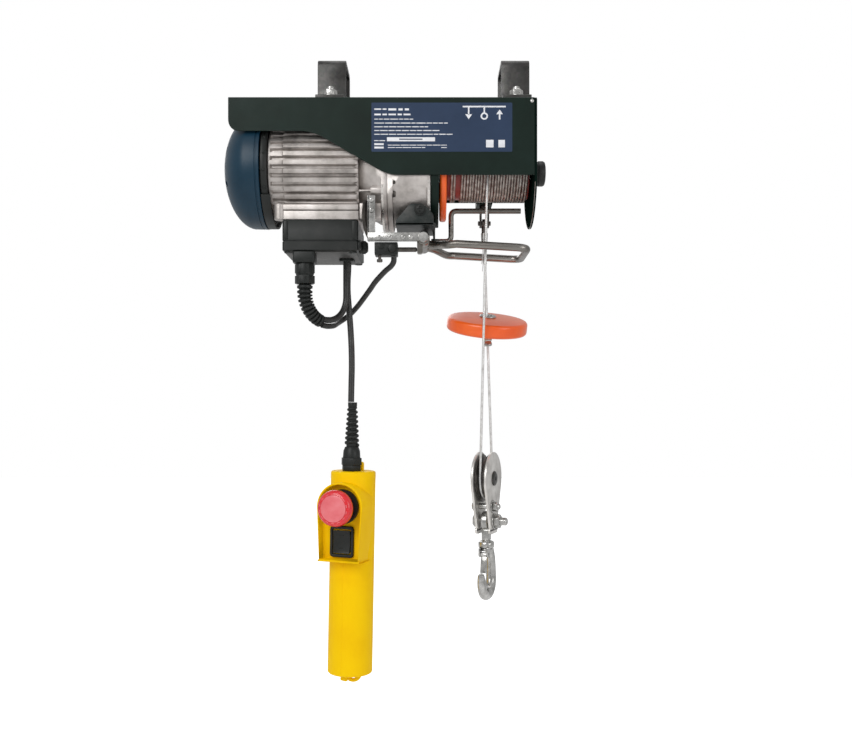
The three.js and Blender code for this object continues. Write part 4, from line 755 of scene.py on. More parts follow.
bellShape = [(-70.0, 34.4), (-70.0, 45.4), (-69.3, 46.1), (-62, 49.4), (-52, 54.4), (-48.6, 56.6), (-45.9, 57.2),
             (-45.5, 58.0), (-45.5, 64.2), (-44.8, 65), (-39.9, 65), (-39.3, 64.4), (-39.3, 34.4)]
caseShape = [(-39.0, 18), (-39.0, 64.4), (-38.4, 65), (-33.6, 65), (-33.0, 64.2), (-33.0, 61.0), (-32.4, 60.2),
             (3.0, 59.8),
             (3.4, 61.2), (4.0, 62), (6.6, 62), (7.2, 61.4), (7.2, 18)]


def trimmed(profile, low=-136, half=54.8):
    turnedCase = latheX(profile, 128, True)
    limits = prism(rounded([(-half, low, 4), (half, low, 4), (half, -3.6, 3), (-half, -3.6, 3)], 4), -80, 20, "yz")
    return carved(turnedCase, limits, keep="INTERSECT")


piece("front_bell_case", trimmed(bellShape), "castAluminium", "frame", ["front_bell"], bevel=0.35,
      crease=45)
piece("gearbox_drum_case", trimmed(caseShape), "castAluminium", "frame", ["gearbox_case"],
      bevel=0.35, crease=45)
piece("flange_machined_rims", trimmed([(-45.3, 60), (-45.3, 65.25), (-43.1, 65.25), (-43.1, 60)], half=54.9),
      "machinedAluminium", "frame")
piece("gearbox_machined_rim", trimmed([(4.6, 58), (4.6, 62.3), (7.2, 62.3), (7.2, 58)], half=54.9),
      "machinedAluminium",
      "frame")

# cast ribs and screw bosses of the bell and the gearbox
ribHeight = -99
castBits = [box(-70, -39.5, -47.2, -40, ribHeight - 1.0, ribHeight + 1.0),
            moved(turned(lathe([(0, 0), (0, 4.4), (16, 4.4), (17.5, 3.6), (17.5, 0)], 28), 90, "Y"), -57.2, -47.8,
                  ribHeight)]
castBits.append(box(-69.4, -46, -44, -24, -129, -112))
castBits.append(prism(rounded([(-45.5, -112, 2), (-45.5, -98, 2), (-34, -98, 2), (-34, -112, 2)], 3), -42, -32, "yz"))
piece("bell_ribs_and_bosses", join(*castBits), "castAluminium", "frame", bevel=0.6, crease=45)
for i, (x, z) in enumerate([(-33.0, -92), (-33.0, -104), (-33.0, -58)]):
    y = max(-math.sqrt(61.5 ** 2 - (z - axisZ) ** 2), -52.4)
    piece(f"flange_bolt_{i + 1}", moved(turned(boltOn(3.4), 90, "Y"), x, y, z), "darkSteel", "frame",
          bevel=0.25, crease=45)

# Drum, its painted flange and the rope wound on it
drumShape = {"rope": 1.5, "barrel": 29, "gap": 0.32, "stepsPerTurn": 112,
             "zones": [(28.7, 34.2, 2), (39.5, 113.6, 24)]}
piece("drum_painted_barrel", latheX([(25.6, 10.4), (25.6, 28.4), (26.2, 29), (116.2, 29), (117, 28.2), (117, 10.4)],
                                    96, True),
      "drumPaint", "drum", ["drum"])
piece("drum_flange_disc", latheX([(17.7, 29.5), (17.7, 51.4), (18.6, 53.0), (20.0, 53.5), (22.9, 53.5), (24.3, 53.0),
                                  (25.2, 51.4), (25.2, 29.5)], 112, True), "flangePaint", "drum", ["drum_flange"],
      crease=44)


def woundRope(start, stop, turns, seed):
    random.seed(seed)
    perTurn = drumShape["stepsPerTurn"]
    path = []
    total = turns * perTurn
    jitter = [random.uniform(-0.22, 0.22) for _ in range(turns * 6 + 2)]
    for i in range(total + 1):
        a = 2 * math.pi * i / perTurn
        spot = i / total * turns * 6
        k = int(spot)
        wander = jitter[k] * (1 - spot + k) + jitter[min(k + 1, len(jitter) - 1)] * (spot - k)
        x = start + (stop - start) * i / total + wander
        r = drumShape["barrel"] + drumShape["rope"] + drumShape["gap"]
        path.append((x, -r * math.cos(a), axisZ + r * math.sin(a)))
    return tube(path, drumShape["rope"], 14, lobes=7, twist=0.55)


windings = [woundRope(a, b, n, 3 + i) for i, (a, b, n) in enumerate(drumShape["zones"])]
piece("rope_wound_on_drum", join(*windings), "drumWire", "drum", ["rope_winding"], crease=60)
print("motor and drum made")

# Terminal box under the motor, its glands and the loop's strain relief
boxShape = {"left": -153.3, "right": -70.9, "front": -45, "rear": 55, "top": -130.3, "split": -152.6,
            "bottom": -164.3}


def terminalBox():
    b = boxShape
    rings = []
    levels = [(b["top"], 0.9), (b["top"] - 1.0, 0), (b["split"] + 0.5, 0), (b["split"], 0.8),
              (b["split"] - 0.8, 0.8), (b["split"] - 1.2, 0), (b["bottom"] + 1.6, 0), (b["bottom"], 1.8)]
    for z, shrink in levels:
        rim = rounded([(b["left"] + shrink, b["front"] + shrink, 4), (b["right"] - shrink, b["front"] + shrink, 4),
                       (b["right"] - shrink, b["rear"] - shrink, 4), (b["left"] + shrink, b["rear"] - shrink, 4)], 6)
        rings.append([(x, y, z) for x, y in rim])
    return stacked(rings)


piece("terminal_box_case", terminalBox(), "blackMoulding", "frame", ["terminal_box"], crease=40)
ridges = []
for x in (boxShape["left"] + 2.2, boxShape["right"] - 6.2):
    ridges.append(box(x, x + 4, boxShape["front"] - 1.1, boxShape["front"] + 1, boxShape["split"] + 1.4,
                      boxShape["top"] - 1.6))
for x, y in [(-147, -39), (-77, -39), (-147, 49), (-77, 49)]:
    ridges.append(moved(turned(lathe([(0, 0), (0, 4.6), (1.0, 4.6), (1.6, 4.0), (1.6, 0)], 28), 180, "X"), x, y,
                        boxShape["bottom"]))
piece("terminal_box_ridges", join(*ridges), "blackMoulding", "frame", bevel=0.5)
lid = prism(rounded([(-151, -43, 4), (-73, -43, 4), (-73, 53, 4), (-151, 53, 4)], 6), boxShape["bottom"] - 0.9,
            boxShape["bottom"] - 0.02, "xy")
piece("terminal_box_lid_panel", lid, "greyMoulding", "frame", bevel=0.5)
piece("terminal_box_side_cap", moved(turned(lathe([(0, 0), (0, 5.4), (1.6, 5.4), (2.4, 4.6), (2.4, 0)], 36), 90, "Y"),
                                     boxShape["right"], -38, -157), "blackMoulding", "frame")

glandShape = {"x": -130, "y": -33, "block": 24, "top": -164.6, "nutLow": -198.6}


def cornerGland():
    g = glandShape
    half = g["block"] / 2
    base = prism(rounded([(g["x"] - half, g["y"] - half, 3), (g["x"] + half, g["y"] - half, 3),
                          (g["x"] + half, g["y"] + half, 3), (g["x"] - half, g["y"] + half, 3)], 4), -176.1, g["top"],
                          "xy")
    body = moved(lathe([(g["nutLow"], 0), (g["nutLow"], 9.6), (-198.2, 10), (-191, 10), (-190.6, 9.4), (-188.6, 9.4),
                        (-188.2, 10.0),
                        (-176, 10.0), (-176, 0)], 40), g["x"], g["y"])
    nuts = [moved(hexHead(11, 9.2), g["x"], g["y"], -186.8), moved(hexHead(11, 8.6), g["x"], g["y"], -198.2)]
    return join(base, body, *nuts)


piece("corner_cable_gland", cornerGland(), "blackMoulding", "frame", ["cable_gland"], bevel=0.5)
loop = {"middle": (-107.985, -10.545, -207.6), "radius": 31.45, "way": (0.7, 0.714, 0)}


def loopPoint(degrees):
    a = math.radians(degrees)
    back = Vector(loop["way"]) * (-loop["radius"] * math.cos(a))
    return Vector(loop["middle"]) + back + Vector((0, 0, -loop["radius"] * math.sin(a)))


bend = [Vector((-130, -33, -199.0)), Vector((-130, -33, -203.4))] + [loopPoint(d) for d in range(0, 73, 6)]
bend = smoothPath(bend, 14)
coarse = ribbed(bend, 11, 8.6, 2.3, 7.2, -1, 0.985)
piece("loop_strain_relief", tube(bend, coarse, 28), "blackMoulding", "frame", ["gland_relief"],
      crease=60)
piece("mains_inlet_gland", join(
    moved(turned(join(lathe([(-1.2, 0), (-1.2, 5.2), (0.1, 5.2), (0.1, 7.5), (1.2, 7.5), (1.4, 6.9), (2.6, 6.9)] +
                            [(2.6, 6.4), (7.2, 6.4), (9.0, 4.6), (9.0, 3.2), (7.6, 3.0), (7.6, 0)], 36),
                      moved(hexHead(7.5, 3.6), z=2.8)), 90, "Y"), -70.6, -18, -156)), "blackMoulding", "frame",
      ["inlet_gland"], bevel=0.25)
piece("cable_grommet", prism(rounded([(-96, 1, 5), (-79, 1, 5), (-79, 26, 5), (-96, 26, 5)], 5), -168.2, -165.1,
                             "xy"),
      "blackMoulding", "frame", bevel=0.9, steps=3)

# Limit gear: bracket, lever support, switch, and the two bent rods
piece("limit_arm_bracket", join(
    box(-60, -52, -50.6, -49, -154, -105), box(-60, -58.4, -50.6, -45.4, -154, -105),
    box(-60, 2, -52, -50.4, -154, -146),
    box(-60, 2, -52, -45.6, -146.6, -145.2), box(-60, 4, -51.8, -44.4, -154, -152.6)), "brightZinc", "frame",
      ["limit_bracket"], bevel=0.4)
piece("lever_pivot_pin", moved(turned(lathe([(-52.6, 0), (-52.6, 5.2), (-51.6, 5.8), (-50, 5.8), (-50, 3.5),
                                             (23.8, 3.5), (24.5, 3.0),
                                             (24.5, 0)], 28), -90, "X"), 0, 0, -150), "brightZinc", "frame")
smallScrews = []
for x, z in [(-56, -110), (-56, -121), (-48, -150), (-36, -150), (-22, -150), (-14, -150)]:
    smallScrews.append(moved(turned(panHead(2.5, 1.5), 90, "X"), x, -51.9, z))
piece("limit_bracket_screws", join(*smallScrews), "brightZinc", "frame")
strips = []
for i, x in enumerate((-63.8, -61.8)):
    strips.append(tube(bentPath([(x, -46, -110), (x - 1.5, -46, -128), (x + 1.5 + i, -47, -143), (x + 5, -48, -150)],
                                8),
                       1, 4, section=[(-2.4, -0.35), (2.4, -0.35), (2.4, 0.35), (-2.4, 0.35)]))
piece("contact_strips", join(*strips), "darkSteel", "frame")
coilPath = [(-56 + 2.3 * math.cos(t), -46.8 + 2.3 * math.sin(t), -124 - 0.26 * t)
            for t in [i * 0.32 for i in range(240)]]
piece("limit_spring", tube(coilPath, 0.5, 8), "brightZinc", "frame")


def leverSupport():
    face = rounded([(-30, -136), (-30, -131), (-15, -113, 3), (1, -113, 8), (11, -125, 3), (11, -136)], 5)
    plate = prism(face, -45.5, -43, "xz")
    deck = box(-30, 13, -45.5, 23.2, -136, -133.5)
    lug = prism(rounded([(-5.2, -155.2, 4), (5.2, -155.2, 4), (5.2, -135), (-5.2, -135)], 4), 20.7, 23.2, "xz")
    side = prism(rounded([(-0.2, -150.7, 4), (10.2, -150.7, 4), (10.2, -135), (-0.2, -135)], 4), 10.5, 13, "yz")
    return join(plate, deck, lug, side)


piece("lever_support_plate", leverSupport(), "wornCoat", "frame", ["lever_support"], bevel=0.5)
piece("support_screw", moved(turned(join(washer(2.6, 6.4, 1), moved(panHead(5.0, 3.2), z=0.9)), 90, "X"), -4, -45.6,
                             -119.5),
      "blackMoulding", "frame")
piece("limit_switch_case", join(
    prism(rounded([(-53, -168.3, 1.4), (-28, -168.3, 1.4), (-28, -154.6, 1), (-53, -154.6, 1)], 4), -46, -26, "xz"),
    moved(turned(lathe([(0, 0), (0, 4.6), (2.0, 4.6), (2.6, 4.0), (3.6, 4.0), (3.6, 0)], 28), 90, "X"), -34, -45.6,
          -161.3),
    moved(turned(lathe([(0, 0), (0, 3.6), (1.4, 3.6), (1.4, 0)], 20), 90, "X"), -46, -45.6, -158.6)), "blackMoulding",
      "frame", ["limit_switch"], bevel=0.5)
piece("switch_lock_screw", moved(turned(join(lathe([(0, 0), (0, 1.7), (5.5, 1.7), (5.5, 0)], 16),
                                             moved(lathe([(0, 0), (0, 3.1), (2.6, 3.1), (3, 2.7), (3, 0)], 20),
                                                   z=4.5)), 180, "X"),
                                 -47.6, -41, -168.2), "darkSteel", "frame")
piece("limit_plunger", moved(turned(lathe([(-24, 0), (-24, 2.6), (-1.2, 2.6), (-0.2, 1.8), (0, 0)], 24), 90, "Y"),
                             -7.0, -36, -161.3), "darkSteel", "switch_rod", ["switch_rod"])
rods = {"low": -156, "end": -160.5, "rod": 4.3, "half": 42, "reach": 113}


def upperLever():
    r = rods

    def arm(sign):
        return [(2, sign * 11, -151), (13, sign * 17, -153), (26, sign * 36, r["low"]),
                (36, sign * r["half"], r["low"]),
                (r["reach"], sign * r["half"], r["end"])]

    route = smoothPath(arm(-1)[:4], 8) + bentPath([arm(-1)[3], arm(-1)[4], arm(1)[4], arm(1)[3]], 13, 12)[1:-1]
    route += smoothPath(arm(1)[:4], 8)[::-1]
    bar = tube(route, r["rod"], 24)
    hub = moved(turned(lathe([(-43.6, 3.9), (-43.6, 6.6), (-43.2, 7), (19.6, 7), (20, 6.6), (20, 3.9)], 36, True),
                       -90, "X"), z=-150)
    push = prism(rounded([(-7, -166, 2), (-1, -166, 2), (-1, -150), (-7, -150)], 3), -40, -32, "xz")
    return join(bar, hub, push)


piece("overwind_lever", upperLever(), "rodSteel", "upper_lever", ["upper_lever"], crease=50)


def lowerLever():
    route = bentPath([(8.5, 5, -145.5), (31, 5, -145.5), (31, 5, -111), (110, 5, -111)], 6.5, 9)
    return tube(route, 3, 20)


piece("slack_rope_lever", lowerLever(), "rodSteel", "lower_lever", ["lower_lever"], crease=50)

# Rope anchor, falls, sleeve and limit weight
piece("rope_anchor_bracket", join(box(61, 79, 19, 55.3, -100, -98.2), box(61, 79, 53.5, 55.3, -100, -68),
                                  prism([(28, -98.4), (53.6, -98.4), (53.6, -78)], 61, 62.8, "yz"),
                                  prism([(28, -98.4), (53.6, -98.4), (53.6, -78)], 77.2, 79, "yz")), "blackCoat",
                                  "frame",
      ["anchor_bracket"], bevel=0.4)
stud = moved(lathe([(-98, 3.0), (-98, 4.8), (-95.2, 4.8), (-95.0, 4.0), (-95.0, 0), (-98, 0)], 6), 70, 27)
fork = [box(64.4, 67, 24, 30, -126, -101), box(73, 75.6, 24, 30, -126, -101), box(64.4, 75.6, 24, 30, -105, -100.6),
        moved(turned(lathe([(-7.4, 0), (-7.4, 2.6), (7.4, 2.6), (7.4, 0)], 20), 90, "Y"), 70, 27, -121)]
eye = [moved(turned(washer(2.8, 5.0, 5), 90, "Y"), 67.5, 27, -121),
       moved(lathe([(-134, 0), (-134, 3.2), (-124, 3.2), (-124, 0)], 24), 70, 27)]
ferrule = moved(lathe([(-143.8, 0), (-143.8, 3.0), (-143.2, 3.7), (-132.5, 4.1), (-131.8, 3.5), (-131.8, 0)], 32), 70,
                27)
piece("rope_anchor_fork", join(stud, *fork, *eye), "darkSteel", "frame", ["rope_anchor"], bevel=0.5)
piece("rope_end_ferrule", ferrule, "brightZinc", "frame")
strandEnds = []
random.seed(11)
for i in range(7):
    a, reach = 2 * math.pi * i / 7, random.uniform(16, 34)
    strandEnds.append(tube(smoothPath([(70 + 1.6 * math.cos(a), 27 + 1.6 * math.sin(a), -143.5),
                                       (70 + 2.2 * math.cos(a), 26.8 + 2.2 * math.sin(a), -143.5 - reach * 0.5),
                                       (70 + 3.2 * math.cos(a + 0.5), 26.4 + 3.2 * math.sin(a + 0.5),
                                        -143.5 - reach)], 5), 0.32, 6))
piece("rope_dead_strands", join(*strandEnds), "ropeWire", "frame")

blockFrame = {"x": 70.7, "y": -1, "z": -413.5, "turn": -21, "pitch": 22.5}
blockTurn = math.radians(blockFrame["turn"])
across = Vector((-math.sin(blockTurn), math.cos(blockTurn), 0))
blockMiddle = Vector((blockFrame["x"], blockFrame["y"], blockFrame["z"]))
fallTop, fallEnd = Vector((70, -34.1, -72)), Vector((70, 27, -144.1))
frontTangent, rearTangent = blockMiddle - across * blockFrame["pitch"], blockMiddle + across * blockFrame["pitch"]


def ropeFalls():
    path = [fallTop.lerp(frontTangent, i / 200) for i in range(200)]
    for i in range(61):
        a = math.pi * i / 60
        path.append(blockMiddle - across * blockFrame["pitch"] * math.cos(a) - Vector((0, 0,
                                                                                       blockFrame["pitch"] * math.sin(a))))
    path += [rearTangent.lerp(fallEnd, i / 160) for i in range(1, 161)]
    return tube(path, 1.5, 21, lobes=7, twist=0.42)


falls = piece("hoist_rope_falls", ropeFalls(), "ropeWire", None, ["rope_falls"], crease=70)
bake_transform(falls)

weightShape = {"radius": 46.3, "thick": 17, "z": -238, "tiltX": 15, "tiltY": 4.5, "hole": 5.1}
weightPlace = rearTangent.lerp(fallEnd, (weightShape["z"] - rearTangent.z) / (fallEnd.z - rearTangent.z))


def onWeight(shape):
    matrix = Matrix.Translation(weightPlace) @ Matrix.Rotation(math.radians(weightShape["tiltX"]), 4, "X") \
        @ Matrix.Rotation(math.radians(weightShape["tiltY"]), 4, "Y")
    return [tuple(matrix @ Vector(v)) for v in shape[0]], shape[1]


def weightProfile():
    t, r = weightShape["thick"] / 2, weightShape["radius"]
    e, line = 3.8, [(-t, 9), (-t, r - 4.5)]
    for i in range(7):
        a = math.radians(-90 + 15 * i)
        line.append((-t + e + e * math.sin(a), r - e + e * math.cos(a)))
    for i in range(7):
        a = math.radians(15 * i)
        line.append((t - 1.6 - e + e * math.sin(a), r - e + e * math.cos(a)))
    return [*line, (t - 0.6, r - 16), (t, 24), (t, 13), (t, 9)]


piece("limit_weight_disc", onWeight(lathe(weightProfile(), 112, True)), "orangePaint", "limit_weight",
      ["limit_weight"],
      crease=50)
piece("limit_weight_bush", onWeight(lathe([(-8.7, weightShape["hole"]), (-8.7, 9.1), (8.6, 9.1), (8.6, 9.6),
                                           (10.2, 9.6), (11, 8.8), (11, weightShape["hole"])],
                                          48, True)), "brightZinc", "limit_weight", bevel=0.3)
along = (fallEnd - rearTangent).normalized()
sleevePlace = rearTangent.lerp(fallEnd, (weightShape["z"] - 11 - rearTangent.z) / (fallEnd.z - rearTangent.z))
piece("stop_sleeve_crimped", aimed(lathe([(-14, 1.8), (-14, 4.0), (-13, 4.9), (-10.4, 5.0), (-9.4, 4.3), (-8.2, 4.3),
                                          (-7.2, 5.1),
                                          (-5.6, 5.1), (-4.6, 4.5), (-3.4, 4.5), (-2.4, 5.6), (-0.8, 5.6), (0, 4.9),
                                          (0, 1.8)],
                                         36, True), sleevePlace, along), "brightZinc", "frame", ["stop_sleeve"])
print("limit gear and rope made")

# Hook block. Its own X axis is the sheave's axis.


def onBlock(shape):
    return moved(turned(shape, blockFrame["turn"], "Z"), *blockMiddle)


def alongX(shape):
    return turned(shape, 90, "Y")


blockShape = {"inner": 6.5, "plate": 2.5, "radius": 29.5, "foot": -62, "footHalf": 15, "crosshead": -48,
              "spacer": -31}


def blockPlate(side):
    b = blockShape
    arc = [(b["radius"] * math.cos(math.radians(a)), b["radius"] * math.sin(math.radians(a)))
           for a in range(0, 181, 4)]
    line = [*arc, (-b["radius"], -6), *rounded([(-b["footHalf"], b["foot"] + 7, 3),
                                                (-b["footHalf"] + 1, b["foot"], 5),
                                                (b["footHalf"] - 1, b["foot"], 5), (b["footHalf"], b["foot"] + 7, 3)],
                                                4),
            (b["radius"], -6)]
    start = b["inner"] if side > 0 else -b["inner"] - b["plate"]
    return prism(line, start, start + b["plate"], "yz")


# The side plates' finish is steel made paler, as a painted reflection of the white surroundings.
piece("block_side_plate_left", onBlock(blockPlate(-1)), "steelPaintedReflection", "hook_block", ["block_plate_left"],
      bevel=0.5, steps=2, crease=40)
piece("block_side_plate_right", onBlock(blockPlate(1)), "steelPaintedReflection", "hook_block", ["block_plate_right"],
      bevel=0.5, steps=2, crease=40)
axle = alongX(lathe([(-11.2, 0), (-11.2, 6.4), (-10.4, 8.0), (-9.1, 8.4), (-9.1, 6), (9.1, 6), (9.1, 8.4),
                     (10.4, 8.0),
                     (11.2, 6.4), (11.2, 2.6), (10.2, 2.0), (10.2, 0)], 40))
piece("sheave_axle", onBlock(axle), "galvanised", "hook_block", ["sheave_pin"])
groove = [(-5, 6.3), (-5, 12), (-3.2, 13), (-3.2, 17), (-5, 18), (-5, 26.4), (-4.5, 27), (-3.9, 27), (-2.3, 21.9),
          (-1.4, 20.6),
          (0, 20.2), (1.4, 20.6), (2.3, 21.9), (3.9, 27), (4.5, 27), (5, 26.4), (5, 18), (3.2, 17), (3.2, 13),
          (5, 12), (5, 6.3)]
piece("grooved_sheave", onBlock(alongX(lathe(groove, 96, True))), "darkSteel", "sheave", ["sheave"],
      crease=50)
spacer = [alongX(lathe([(-9.1, 0), (-9.1, 3.2), (9.1, 3.2), (9.1, 0)], 24)), moved(alongX(nutOnBolt(5.6, 3)), 9.1),
          moved(turned(boltOn(5.6), -90, "Y"), -9.1)]
piece("block_spacer_bolt", onBlock(moved(join(*spacer), 0, -6, blockShape["spacer"])), "brightZinc", "hook_block",
      bevel=0.3)
cross = [alongX(lathe([(-9.4, 0), (-9.4, 4.3), (24.5 - 1.0, 4.3), (24.5, 3.3), (24.5, 0)], 28)),
         moved(turned(join(washer(4.6, 8.4, 0.9), moved(hexHead(7.6, 4.2), z=1)), -90, "Y"), -9.2),
         moved(alongX(join(washer(4.6, 9.2, 1.2), moved(hexHead(8, 6.2), z=1.3))), 9.2)]
threads = [moved(alongX(lathe([(0, 4.2), (0.5, 4.75), (1.0, 4.2)], 28, True)), 17.3 + 1.25 * i) for i in range(5)]
piece("crosshead_cross_bolt", onBlock(moved(join(*cross, *threads), 0, 0, blockShape["crosshead"])), "brightZinc",
      "hook_block", ["crosshead_bolt"], bevel=0.35)


def hookEye():
    ring = moved(alongX(lathe([(-4, 5.0), (-4, 10), (-3, 11), (3, 11), (4, 10), (4, 5.0)], 48, True)), z=-48)
    neck = prism(rounded([(-6, -70.2, 2.4), (6, -70.2, 2.4), (6, -56, 3), (-6, -56, 3)], 4), -3.8, 3.8, "yz")
    stem = lathe([(-82.0, 0), (-82.0, 5.8), (-81.2, 6.7), (-79.1, 6.7), (-78.9, 4.5), (-70, 4.5), (-70, 0)], 36)
    return join(ring, neck, stem)


piece("swivel_hook_eye", onBlock(hookEye()), "brightZinc", "hook_eye", ["hook_eye"], bevel=0.35)


def swivelHook():
    collar = lathe([(-78.4, 4.95), (-78.4, 7.6), (-77.2, 9), (-72.0, 9), (-70.7, 7.6), (-70.7, 4.95)], 48, True)
    way = [(0, 6.2, -75.6), (0, 10.6, -79.8), (0, 14.6, -87.5), (0, 17.0, -98)]
    way += [(0, 18 * math.cos(math.radians(a)), -113.5 + 18 * math.sin(math.radians(a))) for a in range(0, -181, -20)]
    way += [(0, -18.9, -108.5), (0, -19.6, -105.0)]
    line = smoothPath(way, 7)
    n = len(line) - 1
    radii = []
    for i in range(n + 1):
        t = i / n
        wide = 4.8 + 1.5 * math.sin(math.pi * min(1, t / 0.86)) ** 2
        end = max(0, (t - 0.86) / 0.14)
        radii.append(wide * (1 - 0.30 * end) if t < 0.985 else wide * 0.45)
    ears = []
    for side in (-1, 1):
        ear = rounded([(-11, -88, 2.6), (-5, -88, 2.6), (-3.0, -77, 1), (-11, -77, 1)], 4)
        x = side * 4.85
        ears.append(prism(ear, x - 0.9, x + 0.9, "yz"))
    return join(collar, tube(line, radii, 28), *ears)


piece("load_hook", onBlock(swivelHook()), "brightZinc", "hook", ["hook"], crease=50)


def safetyLatch():
    lean = -10
    leaf = rounded([(0, 1), (-0.9, -6, 2), (-0.6, -20.6), (0.6, -20.8), (0.3, -6, 2), (1.1, 0.6)], 5)
    strip = prism(leaf, -3.5, 3.5, "yz")
    hub = alongX(lathe([(-3.6, 0), (-3.6, 2.6), (3.6, 2.6), (3.6, 0)], 28))
    pin = alongX(lathe([(-6.4, 0), (-6.4, 2.0), (-5.8, 2.0), (-5.8, 1.35), (5.8, 1.35), (5.8, 2.0), (6.4, 2.0),
                        (6.4, 0)], 20))
    return moved(join(turned(strip, lean, "X"), hub, pin), 0, -8, -85)


piece("hook_safety_latch", onBlock(safetyLatch()), "brightZinc", "latch", ["latch"], bevel=0.2)
print("hook block made")

# Pendant control. Its own -Y axis is the way its console faces, and its top is at Z = 0.
pendantShape = {"place": (-80.3, 13, -405.9), "lean": 1, "turn": -18.5, "radius": 25.5, "length": 230, "round": 2.5,
                "out": 39.2, "floor": 28, "rim": 2.5, "half": 27.3, "back": 0.2, "top": -11.2, "foot": -99.6,
                "estop": -38.5, "rocker": -77.5}
pendantMatrix = Matrix.Translation(pendantShape["place"]) @ Matrix.Rotation(math.radians(pendantShape["lean"]), 4,
                                                                            "Y") \
    @ Matrix.Rotation(math.radians(pendantShape["turn"]), 4, "Z")


def onPendant(shape):
    return [tuple(pendantMatrix @ Vector(v)) for v in shape[0]], shape[1]


def towardFront(shape, x, z, y):
    # A shape built along +Z, now facing the console's way.
    return moved(turned(shape, 90, "X"), x, y, z)


def pendantTube(front):
    r, length, e = pendantShape["radius"], pendantShape["length"], pendantShape["round"]
    line = [(-length, 0)] + [(-length + e - e * math.sin(a), r - e + e * math.cos(a))
                             for a in [math.radians(90 - 15 * i) for i in range(7)]]
    line += [(-e + e * math.sin(a), r - e + e * math.cos(a))
             for a in [math.radians(15 * i) for i in range(7)]] + [(0, 0)]
    body = lathe(line, 120)
    limits = box(-40, 40, -60, -0.12, -240, 10) if front else box(-40, 40, 0.12, 60, -240, 10)
    return carved(body, limits, keep="INTERSECT")


def consoleRim(shrink):
    p = pendantShape
    w, top, foot = p["half"] - shrink, p["top"] - shrink, p["foot"] + shrink
    line = [(w * math.cos(math.radians(a)), top - w + w * math.sin(math.radians(a))) for a in range(0, 181, 5)]
    bend = max(0.6, 4 - shrink)
    corner = rounded([(-w, foot, bend), (w, foot, bend)], 6)
    return [*line, *corner]


def console():
    p = pendantShape
    layers = [(0, p["back"]), (0, p["out"] - 1.2), (0.35, p["out"] - 0.35), (1.2, p["out"]), (2.1, p["out"] - 0.3),
              (p["rim"], p["out"] - 1), (p["rim"] + 0.3, p["floor"] + 0.8), (p["rim"] + 1, p["floor"])]
    return stacked([[(x, -y, z) for x, z in consoleRim(shrink)] for shrink, y in layers])


piece("pendant_tube_rear", onPendant(pendantTube(False)), "yellowMoulding", "frame", ["pendant_back"],
      crease=30)
piece("pendant_tube_front", onPendant(pendantTube(True)), "yellowMoulding", "frame", ["pendant_front"],
      crease=30)
piece("pendant_console", onPendant(console()), "yellowMoulding", "frame", crease=42)
seam = prism([(-0.45, -25.3), (-0.2, -25.72), (0.2, -25.72), (0.45, -25.3)], -226, -100.5, "xy")
lug = prism(rounded([(-3.2, -4, 1), (3.2, -4, 1), (3.2, 9.5, 3), (-3.2, 9.5, 3)], 5), 12, 17, "xz")
ringPath = [(2.5 + 9.5 * math.cos(math.radians(a)), 0, -229.5 + 10 * math.sin(math.radians(a)))
            for a in range(0, -181, -10)]
foot = join(tube(ringPath, 2.3, 16), prism(rounded([(-11.5, -240.6, 2), (-3, -241.5, 2), (-2, -229), (-10.5, -229)],
                                                   4), -3.4, 3.4, "xz"))
piece("pendant_seam_and_lugs", onPendant(join(seam, moved(lug, 3), moved(foot, 0, 2))), "yellowMoulding", "frame",
      bevel=0.15)
collar = join(towardFront(lathe([(0, 0), (0, 19.4), (3.4, 19.4), (4.2, 18.6), (4.2, 0)], 56), 0,
                          pendantShape["estop"], -28.02),
              towardFront(lathe([(0, 0), (0, 12.5), (4.6, 12.5), (5.2, 11.9), (5.2, 0)], 48), 0,
                          pendantShape["estop"], -32.0))
piece("estop_black_collar", onPendant(collar), "blackMoulding", "frame")
stemShape = towardFront(lathe([(-7, 0), (-7, 8), (18.8, 8), (18.8, 0)], 40), 0, pendantShape["estop"], -26)
piece("estop_plunger", onPendant(stemShape), "blackMoulding", "estop_stem", ["estop_stem"])
headLine = [(0, 17.6), (0.8, 19.2), (2.6, 20.1), (5.2, 20.3), (8.0, 19.9), (10.0, 18.6), (11.2, 16.6), (11.5, 15.2),
            (11.1, 14.9), (11.1, 0)]
piece("estop_mushroom_head", onPendant(towardFront(lathe(headLine, 72), 0, pendantShape["estop"], -44.2)),
      "redMoulding",
      "estop_button", ["estop_button"], crease=50)
dome = lathe([(0, 0), (0, 14.8), (0.5, 14.8), (0.9, 13.6), (1.0, 9), (1.05, 0)], 64)
piece("estop_head_centre", onPendant(towardFront(dome, 0, pendantShape["estop"], -55.2)), "redCentre", "estop_button")
dashes = []
for i in range(14):
    tick = prism(rounded([(-1.7, 15.7), (1.7, 15.7), (1.5, 16.4), (-1.5, 16.4)], 1), 0, 0.35, "xy")
    dashes.append(towardFront(turned(tick, 360 * i / 14, "Z"), 0, pendantShape["estop"], -55.35))
piece("estop_head_marks", onPendant(join(*dashes)), "redCentre", "estop_button")
rockerZ = pendantShape["rocker"]
frameLine = rounded([(-14.2, -95, 4.5), (14.2, -95, 4.5), (14.2, -60, 4.5), (-14.2, -60, 4.5)], 7)
inside = rounded([(-10.9, -91.4, 2), (10.9, -91.4, 2), (10.9, -63.6, 2), (-10.9, -63.6, 2)], 7)
n = len(frameLine)
loops = [[(x, -28.0, z) for x, z in frameLine], [(x, -30.2, z) for x, z in frameLine],
         [(x * 0.965, -31.2, (z - rockerZ) * 0.972 + rockerZ) for x, z in frameLine],
         [(x * 1.04, -31.0, (z - rockerZ) * 1.03 + rockerZ) for x, z in inside],
         [(x, -28.0, z) for x, z in inside]]
vertices = [v for row in loops for v in row]
